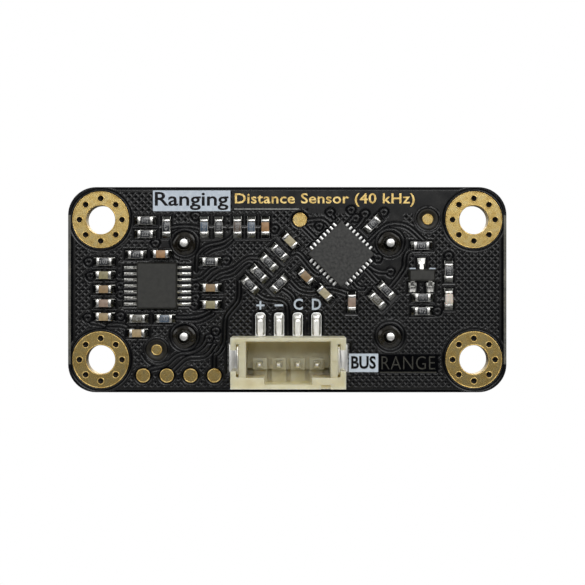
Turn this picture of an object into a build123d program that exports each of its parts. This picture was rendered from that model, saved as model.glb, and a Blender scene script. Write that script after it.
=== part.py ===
from build123d import *
from math import cos, pi, sin
import os

# Ultrasonic distance sensor module, in millimetres.
#
# A 47 x 22 mm circuit board stands upright. Its component side, with the chips and the four-pin
# header, faces -Y. Two 40 kHz transducers stand on the rear side and face +Y.
# The origin is the middle of the four mounting holes, on the component face of the board.
# +X runs to the right as seen from the component side, and +Z is up.
#
# Every part is drawn in the board's own frame (x right, y up, z out of the component face) and
# turned into the part's frame when it is written.

# ---- driving dimensions ----
BOARD_LENGTH = 47.0
BOARD_WIDTH = 22.0
BOARD_THICKNESS = 1.6
BOARD_CORNER_RADIUS = 3.0
COPPER = 0.05  # plated copper and tin, as thick as it stands above the board

# mounting holes with plated rings and a circle of stitching vias
HOLE_SPACING_X = 40.0
HOLE_SPACING_Y = 15.0
HOLE_RADIUS = 1.55  # clear radius for an M3 screw
RING_RADIUS = 3.05
VIA_COUNT = 8
VIA_RADIUS = 0.3
VIA_CIRCLE_RADIUS = 2.28

# bare gold pads
TEST_PAD_RADIUS = 0.76
PROGRAM_PAD_PITCH = 2.54
PROGRAM_PAD_FIRST = (-15.45, -9.2)
PROGRAM_PAD_COUNT = 4
SINGLE_TEST_PAD = (1.35, 7.5)
FIDUCIAL_RADIUS = 0.58
FIDUCIALS = ((-14.0, -6.45), (15.05, 7.55))

# 0603 chip resistors and capacitors
CHIP_LENGTH = 1.6
CHIP_WIDTH = 0.8
RESISTOR_HEIGHT = 0.45
CAPACITOR_HEIGHT = 0.8
TERMINAL_LENGTH = 0.3
TERMINAL_SKIN = 0.03
OVERCOAT_THICKNESS = 0.03
CHIP_PAD_LENGTH = 0.78
CHIP_PAD_SPAN = 2.3
CHIP_PAD_WIDTH = 0.9

# where each chip sits: x, y, turn from +x in degrees
RESISTORS = (
    (-15.2, 7.4, 0),
    (-15.2, 5.95, 0),
    (-12.95, 6.7, 90),
    (-16.2, 3.75, 0),
    (-19.6, 3.0, 0),
    (-16.05, -3.1, 0),
    (-13.15, -3.1, 0),
    (-8.9, 6.7, 90),
    (-7.35, 6.7, 90),
    (-5.35, 6.7, 90),
    (-3.85, 6.7, 90),
    (-8.25, 3.0, 0),
    (-0.85, 4.0, -45),
    (-2.0, 2.9, -45),
    (-3.05, 1.7, -45),
    (-4.0, 0.5, -45),
    (-0.85, 0.6, 45),
    (9.6, -1.15, -45),
    (10.6, -0.1, -45),
    (9.15, 7.0, 45),
    (14.35, 4.7, 0),
    (14.5, -0.85, 0),
    (14.45, -2.3, 0),
    (17.3, 1.95, 90),
)
CAPACITORS = (
    (-13.5, 3.8, 0),
    (-19.6, 1.55, 0),
    (-19.6, 0.05, 0),
    (-19.6, -1.45, 0),
    (-19.6, -2.9, 0),
    (-16.05, -4.65, 0),
    (-2.35, 6.7, 90),
    (-8.2, 0.2, 0),
    (-8.2, -1.6, 0),
    (0.3, 5.2, -45),
    (2.0, 1.4, -45),
    (4.0, -0.4, -45),
    (6.9, -1.35, 90),
)
LED_PLACE = (17.3, -1.0, 90)
LED_BASE_HEIGHT = 0.3
LED_LENS_HEIGHT = 0.3
LED_LENS_LENGTH = 1.1

# microcontroller: 32-terminal flat package, turned 45 degrees
MCU_PLACE = (5.75, 3.8, 45)
MCU_SIDE = 5.0
MCU_HEIGHT = 0.85
MCU_TERMINALS_PER_SIDE = 8
MCU_PITCH = 0.5
MCU_TERMINAL = (0.24, 0.4, 0.2)  # width, length inwards, height
MCU_THERMAL_PAD_SIDE = 3.2
MCU_PAD_OUTSIDE = 0.42  # how far each board pad runs out from under the body

# amplifier: 14-lead thin shrink package
AMP_PLACE = (-13.9, 0.42, 0)
AMP_BODY = (4.4, 5.0, 0.9)
AMP_LEADS_PER_SIDE = 7
AMP_PITCH = 0.65
AMP_LEAD_SPAN = 6.4
AMP_LEAD_WIDTH = 0.24
AMP_PAD = (1.35, 0.36)
AMP_PAD_SPAN = 7.2

# three-lead regulator
REGULATOR_PLACE = (14.38, 1.55, 0)
REGULATOR_BODY = (2.85, 1.3, 0.95)
REGULATOR_LEAD_SPAN = 2.4
REGULATOR_LEAD_WIDTH = 0.42
REGULATOR_LEAD_PITCH = 0.95
REGULATOR_PAD = (0.85, 1.1)
REGULATOR_PAD_SPAN = 3.7

PACKAGE_STANDOFF = 0.1
LEAD_THICKNESS = 0.15
MOULD_DRAFT = 0.18  # how far the top and bottom faces of a moulded body step in from its waist

# four-pin, 2 mm pitch, top-entry header
HEADER_PLACE = (0.12, -7.6)
HEADER_WIDTH = 11.9
HEADER_DEPTH = 5.3
HEADER_HEIGHT = 6.0
HEADER_PITCH = 2.0
HEADER_PINS = 4
HEADER_FLOOR = 1.5
HEADER_CAVITY_WIDTH = 8.75
HEADER_UPPER_WALL = 0.38
HEADER_LOWER_WALL = 1.16
HEADER_WINDOW_WIDTH = 4.9
HEADER_WINDOW_WALL = 0.47
HEADER_MARK = (1.0, 0.47, 0.5)  # width, depth and drop of the mark in the rim at the last pin
HEADER_RIM_STEP = 0.15
HEADER_PIN_SIDE = 0.5
HEADER_PIN_LINE = -0.24  # where the row of contacts stands, from the middle of the housing
HEADER_PIN_TIP = 4.6  # height of the contact tips above the board
HEADER_PIN_COLLAR = (1.5, 1.2, 0.5)  # the raised floor round a contact
HEADER_GROOVE = (0.48, 1.35, 0.6)
HEADER_CORE_OUT = (0.75, 0.8, 0.9)
HEADER_TAIL_REACH = 1.75  # from the wall of the housing to the end of a tail
HEADER_TAIL_HEIGHT = 0.3
HEADER_TAIL_PAD = (1.07, 3.0)
HEADER_PAD_REACH = 2.5
HEADER_SOLDER_HEIGHT = 0.22
TAB_THICKNESS = 0.22
TAB_WIDTH = 2.9
TAB_TOP = 5.2
TAB_SLOT_LENGTH = 3.4
TAB_SLOT_CENTRE = 0.28
TAB_FOOT = 0.38
TAB_INSET = 0.6  # from the housing's end face to the tab's outer face
TAB_BEND_RADIUS = 0.45
TAB_NOTCH_WIDTH = 2.15

# 40 kHz transducers
TRANSDUCER_X = 11.0
TRANSDUCER_RADIUS = 8.0
TRANSDUCER_HEIGHT = 12.0
CAN_WALL = 0.4
CAN_OPENING_RADIUS = 6.6
CAN_EDGE_RADIUS = 0.7
PIN_SPACING = 10.0
PIN_RADIUS = 0.4
PIN_HOLE_RADIUS = 0.55
PIN_HEAD_RADIUS = 0.7
PIN_HEAD_HEIGHT = 0.3
PIN_TIP_HEIGHT = 1.35
JOINT_RADIUS = 1.0
JOINT_HEIGHT = 1.05
BASE_THICKNESS = 3.0
SCREEN_WIRE = 0.26
SCREEN_PITCH = 0.95
PIEZO_RADIUS = 4.0
PIEZO_THICKNESS = 0.4
PLATE_RADIUS = 5.2
PLATE_THICKNESS = 0.25
SEAT_HEIGHT = 1.2
SEAT_INNER_RADIUS = 2.4
SEAT_OUTER_RADIUS = 3.6
CONE_MOUTH_RADIUS = 4.4
CONE_THROAT_RADIUS = 0.9
CONE_HEIGHT = 3.2
CONE_WALL = 0.25
LEAD_WIRE_RADIUS = 0.11
LEAD_WIRE_CLEARANCE = 0.01

# the board's frame inside the part's frame
COMPONENT_FACE = Plane(origin=(0, 0, 0), x_dir=(1, 0, 0), z_dir=(0, -1, 0))


def write(name, *solids):
    """Turns the solids of one node from the board's frame into the part's frame and writes them."""
    loose = [solid for shape in solids for solid in shape.solids()]
    placed = [COMPONENT_FACE.location * solid for solid in loose]
    export_step(placed[0] if len(placed) == 1 else Compound(children=placed), f"parts/{name}.step")


def block(x, y, z, low=0.0):
    """A box centred in x and y that stands on height low."""
    return Pos(0, 0, low + z / 2) * Box(x, y, z)


def disc(radius, height, low=0.0):
    return Pos(0, 0, low + height / 2) * Cylinder(radius, height)


def at(place, shape):
    """Puts a shape at x, y with an optional turn in degrees."""
    turn = place[2] if len(place) > 2 else 0
    return Pos(place[0], place[1], 0) * Rot(0, 0, turn) * shape


def turned(profile_points):
    """A solid of revolution about z from a closed outline of (radius, height) points."""
    outline = Polyline(*[(r, 0, h) for r, h in profile_points], close=True)
    return revolve(make_face(outline), Axis.Z, 360)


# ---- places worked out from the driving dimensions ----
def mounting_holes():
    return {
        "top_left": (-HOLE_SPACING_X / 2, HOLE_SPACING_Y / 2),
        "top_right": (HOLE_SPACING_X / 2, HOLE_SPACING_Y / 2),
        "bottom_left": (-HOLE_SPACING_X / 2, -HOLE_SPACING_Y / 2),
        "bottom_right": (HOLE_SPACING_X / 2, -HOLE_SPACING_Y / 2),
    }


def via_places():
    """The stitching vias of one ring, about its hole."""
    steps = [2 * pi * i / VIA_COUNT for i in range(VIA_COUNT)]
    return [(VIA_CIRCLE_RADIUS * cos(a), VIA_CIRCLE_RADIUS * sin(a)) for a in steps]


def transducer_pins(centre_x):
    return ((centre_x, PIN_SPACING / 2), (centre_x, -PIN_SPACING / 2))


def program_pads():
    x, y = PROGRAM_PAD_FIRST
    return [(x + PROGRAM_PAD_PITCH * i, y) for i in range(PROGRAM_PAD_COUNT)]


def row(count, pitch):
    """Positions of count things a pitch apart, about zero."""
    return [pitch * (i - (count - 1) / 2) for i in range(count)]


# ---- board ----
def circuit_board():
    outline = RectangleRounded(BOARD_LENGTH, BOARD_WIDTH, BOARD_CORNER_RADIUS)
    board = Pos(0, 0, -BOARD_THICKNESS) * extrude(outline, BOARD_THICKNESS)
    through = []
    for hole in mounting_holes().values():
        through.append(at(hole, disc(HOLE_RADIUS + COPPER, BOARD_THICKNESS, -BOARD_THICKNESS)))
        for via in via_places():
            place = (hole[0] + via[0], hole[1] + via[1])
            through.append(at(place, disc(VIA_RADIUS, BOARD_THICKNESS, -BOARD_THICKNESS)))
    for side in (-1, 1):
        for pin in transducer_pins(side * TRANSDUCER_X):
            through.append(at(pin, disc(PIN_HOLE_RADIUS, BOARD_THICKNESS, -BOARD_THICKNESS)))
    return board - through


def mounting_ring():
    """One plated hole: a ring on each face, joined by the barrel that lines the hole."""
    height = BOARD_THICKNESS + 2 * COPPER
    low = -BOARD_THICKNESS - COPPER
    front = disc(RING_RADIUS, COPPER)
    rear = disc(RING_RADIUS, COPPER, low)
    barrel = disc(HOLE_RADIUS + COPPER, height, low)
    cuts = [disc(HOLE_RADIUS, height, low)]
    cuts += [at(via, disc(VIA_RADIUS, height, low)) for via in via_places()]
    return (front + rear + barrel) - cuts


def chip_pads(place):
    inset = (CHIP_PAD_SPAN - CHIP_PAD_LENGTH) / 2
    pad = block(CHIP_PAD_LENGTH, CHIP_PAD_WIDTH, COPPER)
    return [at(place, Pos(side * inset, 0, 0) * pad) for side in (-1, 1)]


def solder_pads():
    """The tinned board pads under every soldered part."""
    pads = []
    for place in (*RESISTORS, *CAPACITORS, LED_PLACE):
        pads += chip_pads(place)
    width, inside, _ = MCU_TERMINAL
    length = inside + MCU_PAD_OUTSIDE
    reach = MCU_SIDE / 2 + (MCU_PAD_OUTSIDE - inside) / 2
    for quarter in range(4):
        for along in row(MCU_TERMINALS_PER_SIDE, MCU_PITCH):
            pad = Rot(0, 0, 90 * quarter) * (Pos(along, reach, 0) * block(width, length, COPPER))
            pads.append(at(MCU_PLACE, pad))
    pads.append(at(MCU_PLACE, block(MCU_THERMAL_PAD_SIDE, MCU_THERMAL_PAD_SIDE, COPPER)))
    for side in (-1, 1):
        for along in row(AMP_LEADS_PER_SIDE, AMP_PITCH):
            middle = side * (AMP_PAD_SPAN - AMP_PAD[0]) / 2
            pads.append(at(AMP_PLACE, Pos(middle, along, 0) * block(*AMP_PAD, COPPER)))
    middle = (REGULATOR_PAD_SPAN - REGULATOR_PAD[1]) / 2
    for along, side in regulator_lead_places():
        pads.append(at(REGULATOR_PLACE, Pos(along, side * middle, 0) * block(*REGULATOR_PAD, COPPER)))
    tail_pad = extrude(RectangleRounded(*HEADER_TAIL_PAD, 0.35), COPPER)
    middle = HEADER_DEPTH / 2 + HEADER_PAD_REACH - HEADER_TAIL_PAD[1] / 2
    for x in row(HEADER_PINS, HEADER_PITCH):
        pads.append(at(HEADER_PLACE, Pos(x, middle, 0) * tail_pad))
    tab_pad = block(TAB_INSET + 2 * TAB_FOOT, TAB_WIDTH + 0.3, COPPER)
    for side in (-1, 1):
        x = side * (HEADER_WIDTH - TAB_INSET + TAB_FOOT) / 2
        pads.append(at(HEADER_PLACE, Pos(x, TAB_SLOT_CENTRE, 0) * tab_pad))
    return pads


# ---- chip resistors, capacitors and the lamp ----
def end_cap(length, width, height, skin):
    """A metal cap of outer size width x height that wraps the end of a chip, open inwards."""
    inside = Pos(-skin, 0, 0) * block(length, width - 2 * skin, height - 2 * skin, skin)
    return block(length, width, height) - inside


def chip_body(height, skin):
    """The ceramic of a chip: full size between the caps, and thinner by their skin inside them."""
    middle = block(CHIP_LENGTH - 2 * TERMINAL_LENGTH, CHIP_WIDTH, height)
    core = block(CHIP_LENGTH - 2 * skin, CHIP_WIDTH - 2 * skin, height - 2 * skin, skin)
    return middle + core


def chip_caps(height, skin):
    """The two caps of one chip."""
    cap = Pos((CHIP_LENGTH - TERMINAL_LENGTH) / 2, 0, 0) * end_cap(
        TERMINAL_LENGTH, CHIP_WIDTH, height, skin
    )
    return [cap, Rot(0, 0, 180) * cap]


def overcoat():
    """The printed coat over a resistor's element, between its caps."""
    return block(CHIP_LENGTH - 2 * TERMINAL_LENGTH, CHIP_WIDTH - 0.04, OVERCOAT_THICKNESS)


def placed_chips(places, make, low=COPPER):
    return [at(place, Pos(0, 0, low) * shape) for place in places for shape in make]


def led_pieces():
    """The lamp's white base, its clear lens and its two end caps."""
    base_mid = CHIP_LENGTH - 2 * TERMINAL_LENGTH
    base = block(base_mid, CHIP_WIDTH, LED_BASE_HEIGHT) + block(
        CHIP_LENGTH - 2 * TERMINAL_SKIN,
        CHIP_WIDTH - 2 * TERMINAL_SKIN,
        LED_BASE_HEIGHT - 2 * TERMINAL_SKIN,
        TERMINAL_SKIN,
    )
    caps = chip_caps(LED_BASE_HEIGHT, TERMINAL_SKIN)
    lens = block(LED_LENS_LENGTH, CHIP_WIDTH, LED_LENS_HEIGHT, LED_BASE_HEIGHT)
    lens = chamfer(lens.edges().group_by(Axis.Z)[-1].filter_by(Axis.Y), 0.12)
    return base, lens, caps


# ---- moulded packages ----
def moulded_body(x, y, z, low):
    """A moulded body that is widest at its waist, with its top and bottom faces drafted in."""
    waist = low + z * 0.45
    outline = Rectangle(x, y)
    small = Rectangle(x - 2 * MOULD_DRAFT, y - 2 * MOULD_DRAFT)
    upper = loft([Pos(0, 0, waist) * outline, Pos(0, 0, low + z) * small])
    lower = loft([Pos(0, 0, low) * small, Pos(0, 0, waist) * outline])
    return upper + lower


def gull_wing(reach, body_edge, shoulder):
    """The side outline of one lead: out of the body at shoulder height, down, and flat on its pad."""
    foot = 0.55
    knee = 0.18
    t = LEAD_THICKNESS
    outline = Polyline(
        (body_edge, shoulder),
        (body_edge + knee, shoulder),
        (reach - foot, t),
        (reach, t),
        (reach, 0),
        (reach - foot - t * 0.6, 0),
        (body_edge + knee - t * 0.6, shoulder - t),
        (body_edge, shoulder - t),
        close=True,
    )
    return make_face(Plane.XZ * outline)


def lead(reach, body_edge, width, shoulder):
    """One gull-wing lead along +x, centred across its width, with its foot at height zero."""
    face = gull_wing(reach, body_edge, shoulder)
    return extrude(face, width / 2, both=True)


def leaded_package(body_size, leads):
    """A body with pockets for its leads, and the leads; leads are (turn, along, lead solid)."""
    solids = [Rot(0, 0, turn) * (Pos(0, along, 0) * solid) for turn, along, solid in leads]
    body = moulded_body(*body_size, PACKAGE_STANDOFF) - solids
    return body, solids


def amplifier():
    shoulder = PACKAGE_STANDOFF + AMP_BODY[2] * 0.45 + LEAD_THICKNESS / 2
    one = lead(AMP_LEAD_SPAN / 2, AMP_BODY[0] / 2 - 0.25, AMP_LEAD_WIDTH, shoulder)
    leads = [(turn, y, one) for turn in (0, 180) for y in row(AMP_LEADS_PER_SIDE, AMP_PITCH)]
    return leaded_package(AMP_BODY, leads)


def regulator_lead_places():
    """Offset along the body and side (up or down) of each lead: one above, two below."""
    return ((0, 1), (-REGULATOR_LEAD_PITCH, -1), (REGULATOR_LEAD_PITCH, -1))


def regulator():
    shoulder = PACKAGE_STANDOFF + REGULATOR_BODY[2] * 0.45 + LEAD_THICKNESS / 2
    one = lead(
        REGULATOR_LEAD_SPAN / 2, REGULATOR_BODY[1] / 2 - 0.2, REGULATOR_LEAD_WIDTH, shoulder
    )
    leads = [(90 * side, -side * along, one) for along, side in regulator_lead_places()]
    return leaded_package(REGULATOR_BODY, leads)


def microcontroller():
    """The flat package: a body, its 32 edge terminals and its thermal pad, all flush below."""
    width, inside, height = MCU_TERMINAL
    reach = MCU_SIDE / 2 - inside / 2
    one = block(width, inside, height)
    terminals = [
        Rot(0, 0, 90 * quarter) * (Pos(along, reach, 0) * one)
        for quarter in range(4)
        for along in row(MCU_TERMINALS_PER_SIDE, MCU_PITCH)
    ]
    thermal = block(MCU_THERMAL_PAD_SIDE, MCU_THERMAL_PAD_SIDE, height)
    body = block(MCU_SIDE, MCU_SIDE, MCU_HEIGHT)
    body = chamfer(body.edges().group_by(Axis.Z)[-1], 0.06)
    return body - [*terminals, thermal], terminals, thermal


# ---- header ----
def header_pin():
    """A contact: its tip stands in the socket, and its tail lies on the board above the housing."""
    side = HEADER_PIN_SIDE
    tail_end = HEADER_DEPTH / 2 + HEADER_TAIL_REACH - HEADER_PIN_LINE
    post = block(side, side, HEADER_PIN_TIP)
    post = chamfer(post.edges().group_by(Axis.Z)[-1], 0.14)
    tail = Pos(0, tail_end / 2, 0) * block(side, tail_end, HEADER_TAIL_HEIGHT)
    tail = fillet(tail.edges().group_by(Axis.Y)[-1].filter_by(Axis.Z), side * 0.45)
    return Pos(0, HEADER_PIN_LINE, 0) * (post + tail)


def header_tail_solder(pin):
    """The solder along both sides and round the end of one tail."""
    width, _ = HEADER_TAIL_PAD
    low = HEADER_DEPTH / 2 + 0.05
    high = HEADER_DEPTH / 2 + HEADER_PAD_REACH - 0.08
    middle = Pos(0, (low + high) / 2, 0)
    foot = middle * RectangleRounded(width - 0.1, high - low, 0.3)
    crown = middle * Pos(0, -0.1, HEADER_SOLDER_HEIGHT) * RectangleRounded(
        HEADER_PIN_SIDE + 0.12, high - low - 0.5, 0.25
    )
    return loft([foot, crown]) - pin


def header_tab():
    """The right-hand solder tab: an upright plate that bends outwards into a foot on the board."""
    outer = HEADER_WIDTH / 2 - TAB_INSET
    inner = outer - TAB_THICKNESS
    reach = HEADER_WIDTH / 2 + TAB_FOOT
    outline = Polyline(
        (inner, 0),
        (reach, 0),
        (reach, TAB_THICKNESS),
        (outer, TAB_THICKNESS),
        (outer, TAB_TOP),
        (inner, TAB_TOP),
        close=True,
    )
    tab = extrude(make_face(Plane.XZ * outline), TAB_WIDTH / 2, both=True)
    along = tab.edges().filter_by(Axis.Y)
    inside_corner = along.sort_by_distance((outer, 0, TAB_THICKNESS))[0]
    tab = fillet(inside_corner, TAB_BEND_RADIUS)
    outside_corner = tab.edges().filter_by(Axis.Y).sort_by_distance((inner, 0, 0))[0]
    tab = fillet(outside_corner, TAB_BEND_RADIUS + TAB_THICKNESS)
    return Pos(0, TAB_SLOT_CENTRE, 0) * tab


def header_socket_cuts():
    """The socket, its window between the two corner blocks, and the pockets in its floor."""
    upper = HEADER_DEPTH / 2 - HEADER_UPPER_WALL
    lower = -HEADER_DEPTH / 2 + HEADER_LOWER_WALL
    window = -HEADER_DEPTH / 2 + HEADER_WINDOW_WALL
    deep = HEADER_HEIGHT - HEADER_FLOOR
    socket = block(HEADER_CAVITY_WIDTH, upper - lower, deep, HEADER_FLOOR)
    opening = block(HEADER_WINDOW_WIDTH, upper - window, deep, HEADER_FLOOR)
    cuts = [Pos(0, (upper + lower) / 2, 0) * socket, Pos(0, (upper + window) / 2, 0) * opening]
    width, length, depth = HEADER_CORE_OUT
    core_out = block(width, length, depth, HEADER_FLOOR - depth)
    for side in (-1, 1):
        x = side * (HEADER_CAVITY_WIDTH - width) / 2
        cuts.append(Pos(x, lower + length / 2, 0) * core_out)
    width, length, depth = HEADER_GROOVE
    groove = block(width, length, depth, HEADER_FLOOR - depth)
    cuts += [Pos(x, window + length / 2, 0) * groove for x in row(HEADER_PINS - 1, HEADER_PITCH)]
    return cuts


def header_wall_cuts():
    """The polarity mark, and at each end a slot for the tab, a notch outside it and a low rim."""
    width, depth, drop = HEADER_MARK
    mark_x = (HEADER_CAVITY_WIDTH - width) / 2
    mark = block(width, depth, drop, HEADER_HEIGHT - drop)
    cuts = [Pos(mark_x, (depth - HEADER_DEPTH) / 2, 0) * mark]
    slot = block(TAB_THICKNESS + 0.06, TAB_SLOT_LENGTH, HEADER_HEIGHT)
    notch = block(TAB_INSET, TAB_NOTCH_WIDTH, HEADER_HEIGHT)
    foot = block(TAB_INSET, TAB_WIDTH + 0.1, TAB_THICKNESS + TAB_BEND_RADIUS)
    rim_width = (HEADER_WIDTH - HEADER_CAVITY_WIDTH) / 2 - TAB_INSET - TAB_THICKNESS
    rim_length = HEADER_DEPTH / 2 - HEADER_LOWER_WALL + 0.3
    rim = block(rim_width, rim_length, HEADER_RIM_STEP, HEADER_HEIGHT - HEADER_RIM_STEP)
    for side in (-1, 1):
        slot_x = side * (HEADER_WIDTH / 2 - TAB_INSET - TAB_THICKNESS / 2)
        notch_x = side * (HEADER_WIDTH / 2 - TAB_INSET / 2)
        rim_x = side * (HEADER_CAVITY_WIDTH + rim_width) / 2
        cuts.append(Pos(slot_x, TAB_SLOT_CENTRE, 0) * slot)
        cuts.append(Pos(notch_x, TAB_SLOT_CENTRE, 0) * notch)
        cuts.append(Pos(notch_x, TAB_SLOT_CENTRE, 0) * foot)
        cuts.append(Pos(rim_x, HEADER_LOWER_WALL - HEADER_DEPTH / 2 + rim_length / 2, 0) * rim)
    return cuts


def header_housing(pins, tabs):
    housing = block(HEADER_WIDTH, HEADER_DEPTH, HEADER_HEIGHT)
    housing -= [*header_socket_cuts(), *header_wall_cuts()]
    collar = Pos(0, HEADER_PIN_LINE, 0) * block(*HEADER_PIN_COLLAR, HEADER_FLOOR)
    collars = [Pos(x, 0, 0) * collar for x in row(HEADER_PINS, HEADER_PITCH)]
    return (housing + collars) - [*pins, *tabs]


def header():
    """The housing, its contacts, the solder on their tails, and its two tabs, all in place."""
    pins = [Pos(x, 0, 0) * header_pin() for x in row(HEADER_PINS, HEADER_PITCH)]
    tails = zip(pins, row(HEADER_PINS, HEADER_PITCH))
    solder = [Pos(x, 0, 0) * header_tail_solder(Pos(-x, 0, 0) * pin) for pin, x in tails]
    tab = header_tab()
    tabs = [tab, mirror(tab, Plane.YZ)]
    housing = header_housing(pins, tabs)
    raised = Pos(0, 0, COPPER)
    groups = ([housing], pins, solder, tabs)
    return [[at(HEADER_PLACE, raised * piece) for piece in group] for group in groups]


# ---- transducers: drawn with the board's rear face at height zero and the mouth at the top ----
def can():
    """The aluminium can: a tube with a rounded lip turned in over the screen."""
    r, h, wall = TRANSDUCER_RADIUS, TRANSDUCER_HEIGHT, CAN_WALL
    shell = disc(r, h) - disc(r - wall, h - wall) - disc(CAN_OPENING_RADIUS, h)
    rim = shell.edges().filter_by(GeomType.CIRCLE).group_by(Axis.Z)[-1].sort_by(SortBy.RADIUS)[-1]
    return fillet(rim, CAN_EDGE_RADIUS)


def screen():
    """A wire screen behind the lip: two layers of bars in a flat hoop."""
    inside = TRANSDUCER_RADIUS - CAN_WALL
    low = TRANSDUCER_HEIGHT - CAN_WALL - 2 * SCREEN_WIRE
    count = int(2 * inside / SCREEN_PITCH)
    bars = []
    for offset in row(count, SCREEN_PITCH):
        bar = block(2 * inside, SCREEN_WIRE, SCREEN_WIRE, low)
        bars.append(Pos(0, offset, 0) * bar)
        bars.append(Rot(0, 0, 90) * (Pos(0, offset, 0) * (Pos(0, 0, SCREEN_WIRE) * bar)))
    hoop = disc(inside, 2 * SCREEN_WIRE, low) - disc(CAN_OPENING_RADIUS, 2 * SCREEN_WIRE, low)
    field = disc(inside, 2 * SCREEN_WIRE, low)
    mesh = (bars[0].fuse(*bars[1:]) & field) + hoop
    return mesh


def base():
    """The moulded base that closes the can, with a hole for each pin."""
    body = disc(TRANSDUCER_RADIUS - CAN_WALL, BASE_THICKNESS)
    body = chamfer(body.edges().group_by(Axis.Z)[-1], 0.3)
    holes = [at(pin, disc(PIN_RADIUS, BASE_THICKNESS)) for pin in transducer_pins(0)]
    return body - holes


def seat():
    """The silicone ring that carries the plate at its still circle."""
    return disc(SEAT_OUTER_RADIUS, SEAT_HEIGHT, BASE_THICKNESS) - disc(
        SEAT_INNER_RADIUS, SEAT_HEIGHT, BASE_THICKNESS
    )


def piezo_disc():
    return disc(PIEZO_RADIUS, PIEZO_THICKNESS, BASE_THICKNESS + SEAT_HEIGHT)


def vibrating_plate():
    low = BASE_THICKNESS + SEAT_HEIGHT + PIEZO_THICKNESS
    return disc(PLATE_RADIUS, PLATE_THICKNESS, low)


def cone():
    """The thin radiating cone, glued by its throat to the middle of the plate."""
    low = BASE_THICKNESS + SEAT_HEIGHT + PIEZO_THICKNESS + PLATE_THICKNESS
    high = low + CONE_HEIGHT
    floor = low + CONE_WALL
    return turned(
        (
            (0, low),
            (CONE_THROAT_RADIUS, low),
            (CONE_MOUTH_RADIUS, high),
            (CONE_MOUTH_RADIUS - CONE_WALL, high),
            (CONE_THROAT_RADIUS - CONE_WALL * 0.6, floor),
            (0, floor),
        )
    )


def transducer_pin():
    """A straight pin with a head inside the can; it runs through the board."""
    length = BASE_THICKNESS + BOARD_THICKNESS + PIN_TIP_HEIGHT
    shank = disc(PIN_RADIUS, length, BASE_THICKNESS - length)
    return shank + disc(PIN_HEAD_RADIUS, PIN_HEAD_HEIGHT, BASE_THICKNESS)


def lead_wire(start_radius, clear_radius, end_radius, end_height):
    """A thin wire from a pin's head, round the plate's edge, to where it is soldered on the plate."""
    start = BASE_THICKNESS + PIN_HEAD_HEIGHT
    route = Spline(
        (0, start_radius, start),
        (0, clear_radius, end_height),
        (0, (clear_radius + end_radius) / 2, end_height + 0.6),
        (0, end_radius, end_height),
        tangents=((0, 0.2, 1), (0, 0, -1)),
    )
    ring = Plane(origin=route @ 0, z_dir=(0, 0, 1)) * Circle(LEAD_WIRE_RADIUS)
    return sweep(ring, path=route)


def transducer(centre_x):
    """Every piece of one transducer, in the board's frame."""
    top_of_plate = BASE_THICKNESS + SEAT_HEIGHT + PIEZO_THICKNESS + PLATE_THICKNESS
    end_height = top_of_plate + LEAD_WIRE_CLEARANCE
    wire = lead_wire(PIN_SPACING / 2 + 0.4, PLATE_RADIUS + 0.6, PLATE_RADIUS - 0.45, end_height)
    pin = Pos(0, PIN_SPACING / 2, 0) * transducer_pin()
    pieces = {
        "can": can(),
        "screen": screen(),
        "cone": cone(),
        "vibrating_plate": vibrating_plate(),
        "piezo_disc": piezo_disc(),
        "seat": seat(),
        "base": base(),
        "upper_pin": pin,
        "lower_pin": Rot(0, 0, 180) * pin,
        "upper_lead_wire": wire,
        "lower_lead_wire": Rot(0, 0, 180) * wire,
    }
    # the mouth points away from the component face
    turn = Pos(centre_x, 0, -BOARD_THICKNESS) * Rot(0, 180, 0)
    return {name: turn * piece for name, piece in pieces.items()}


def pin_joint():
    """The solder that fills a pin's hole and rises round its end in a hollow cone."""
    low = -BOARD_THICKNESS
    flank = Spline(
        (JOINT_RADIUS, 0, COPPER),
        (0.62, 0, 0.35),
        (PIN_RADIUS + 0.04, 0, JOINT_HEIGHT),
        tangents=((-1, 0, 0.25), (-0.1, 0, 1)),
    )
    edge = Polyline(
        (PIN_RADIUS + 0.04, 0, JOINT_HEIGHT),
        (PIN_RADIUS, 0, JOINT_HEIGHT),
        (PIN_RADIUS, 0, low),
        (PIN_HOLE_RADIUS, 0, low),
        (PIN_HOLE_RADIUS, 0, 0),
        (JOINT_RADIUS, 0, 0),
        (JOINT_RADIUS, 0, COPPER),
    )
    return revolve(make_face([flank, edge]), Axis.Z, 360)


def solder_wedge(start, out, width, rise):
    """A wedge of solder along +x, from the metal it wets at start down to its pad's edge."""
    outline = Polyline((start, 0), (out, 0), (out, 0.03), (start, rise), close=True)
    return extrude(make_face(Plane.XZ * outline), width / 2, both=True)


def chip_joints(place, height):
    """The two solder wedges outside the ends of one chip."""
    wedge = solder_wedge(CHIP_LENGTH / 2, CHIP_PAD_SPAN / 2, CHIP_WIDTH, height * 0.6)
    return placed_chips([place], [wedge, Rot(0, 0, 180) * wedge])


def lead_joints():
    """The solder in front of the toes of the amplifier's and the regulator's leads."""
    toe = solder_wedge(AMP_LEAD_SPAN / 2, AMP_PAD_SPAN / 2 - 0.03, AMP_LEAD_WIDTH, LEAD_THICKNESS)
    wedges = [
        Rot(0, 0, turn) * (Pos(0, y, 0) * toe)
        for turn in (0, 180)
        for y in row(AMP_LEADS_PER_SIDE, AMP_PITCH)
    ]
    joints = placed_chips([AMP_PLACE], wedges)
    out = REGULATOR_PAD_SPAN / 2 - 0.05
    toe = solder_wedge(REGULATOR_LEAD_SPAN / 2, out, REGULATOR_LEAD_WIDTH + 0.2, LEAD_THICKNESS)
    wedges = [
        Rot(0, 0, 90 * side) * (Pos(0, -side * along, 0) * toe)
        for along, side in regulator_lead_places()
    ]
    return joints + placed_chips([REGULATOR_PLACE], wedges)


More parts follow.
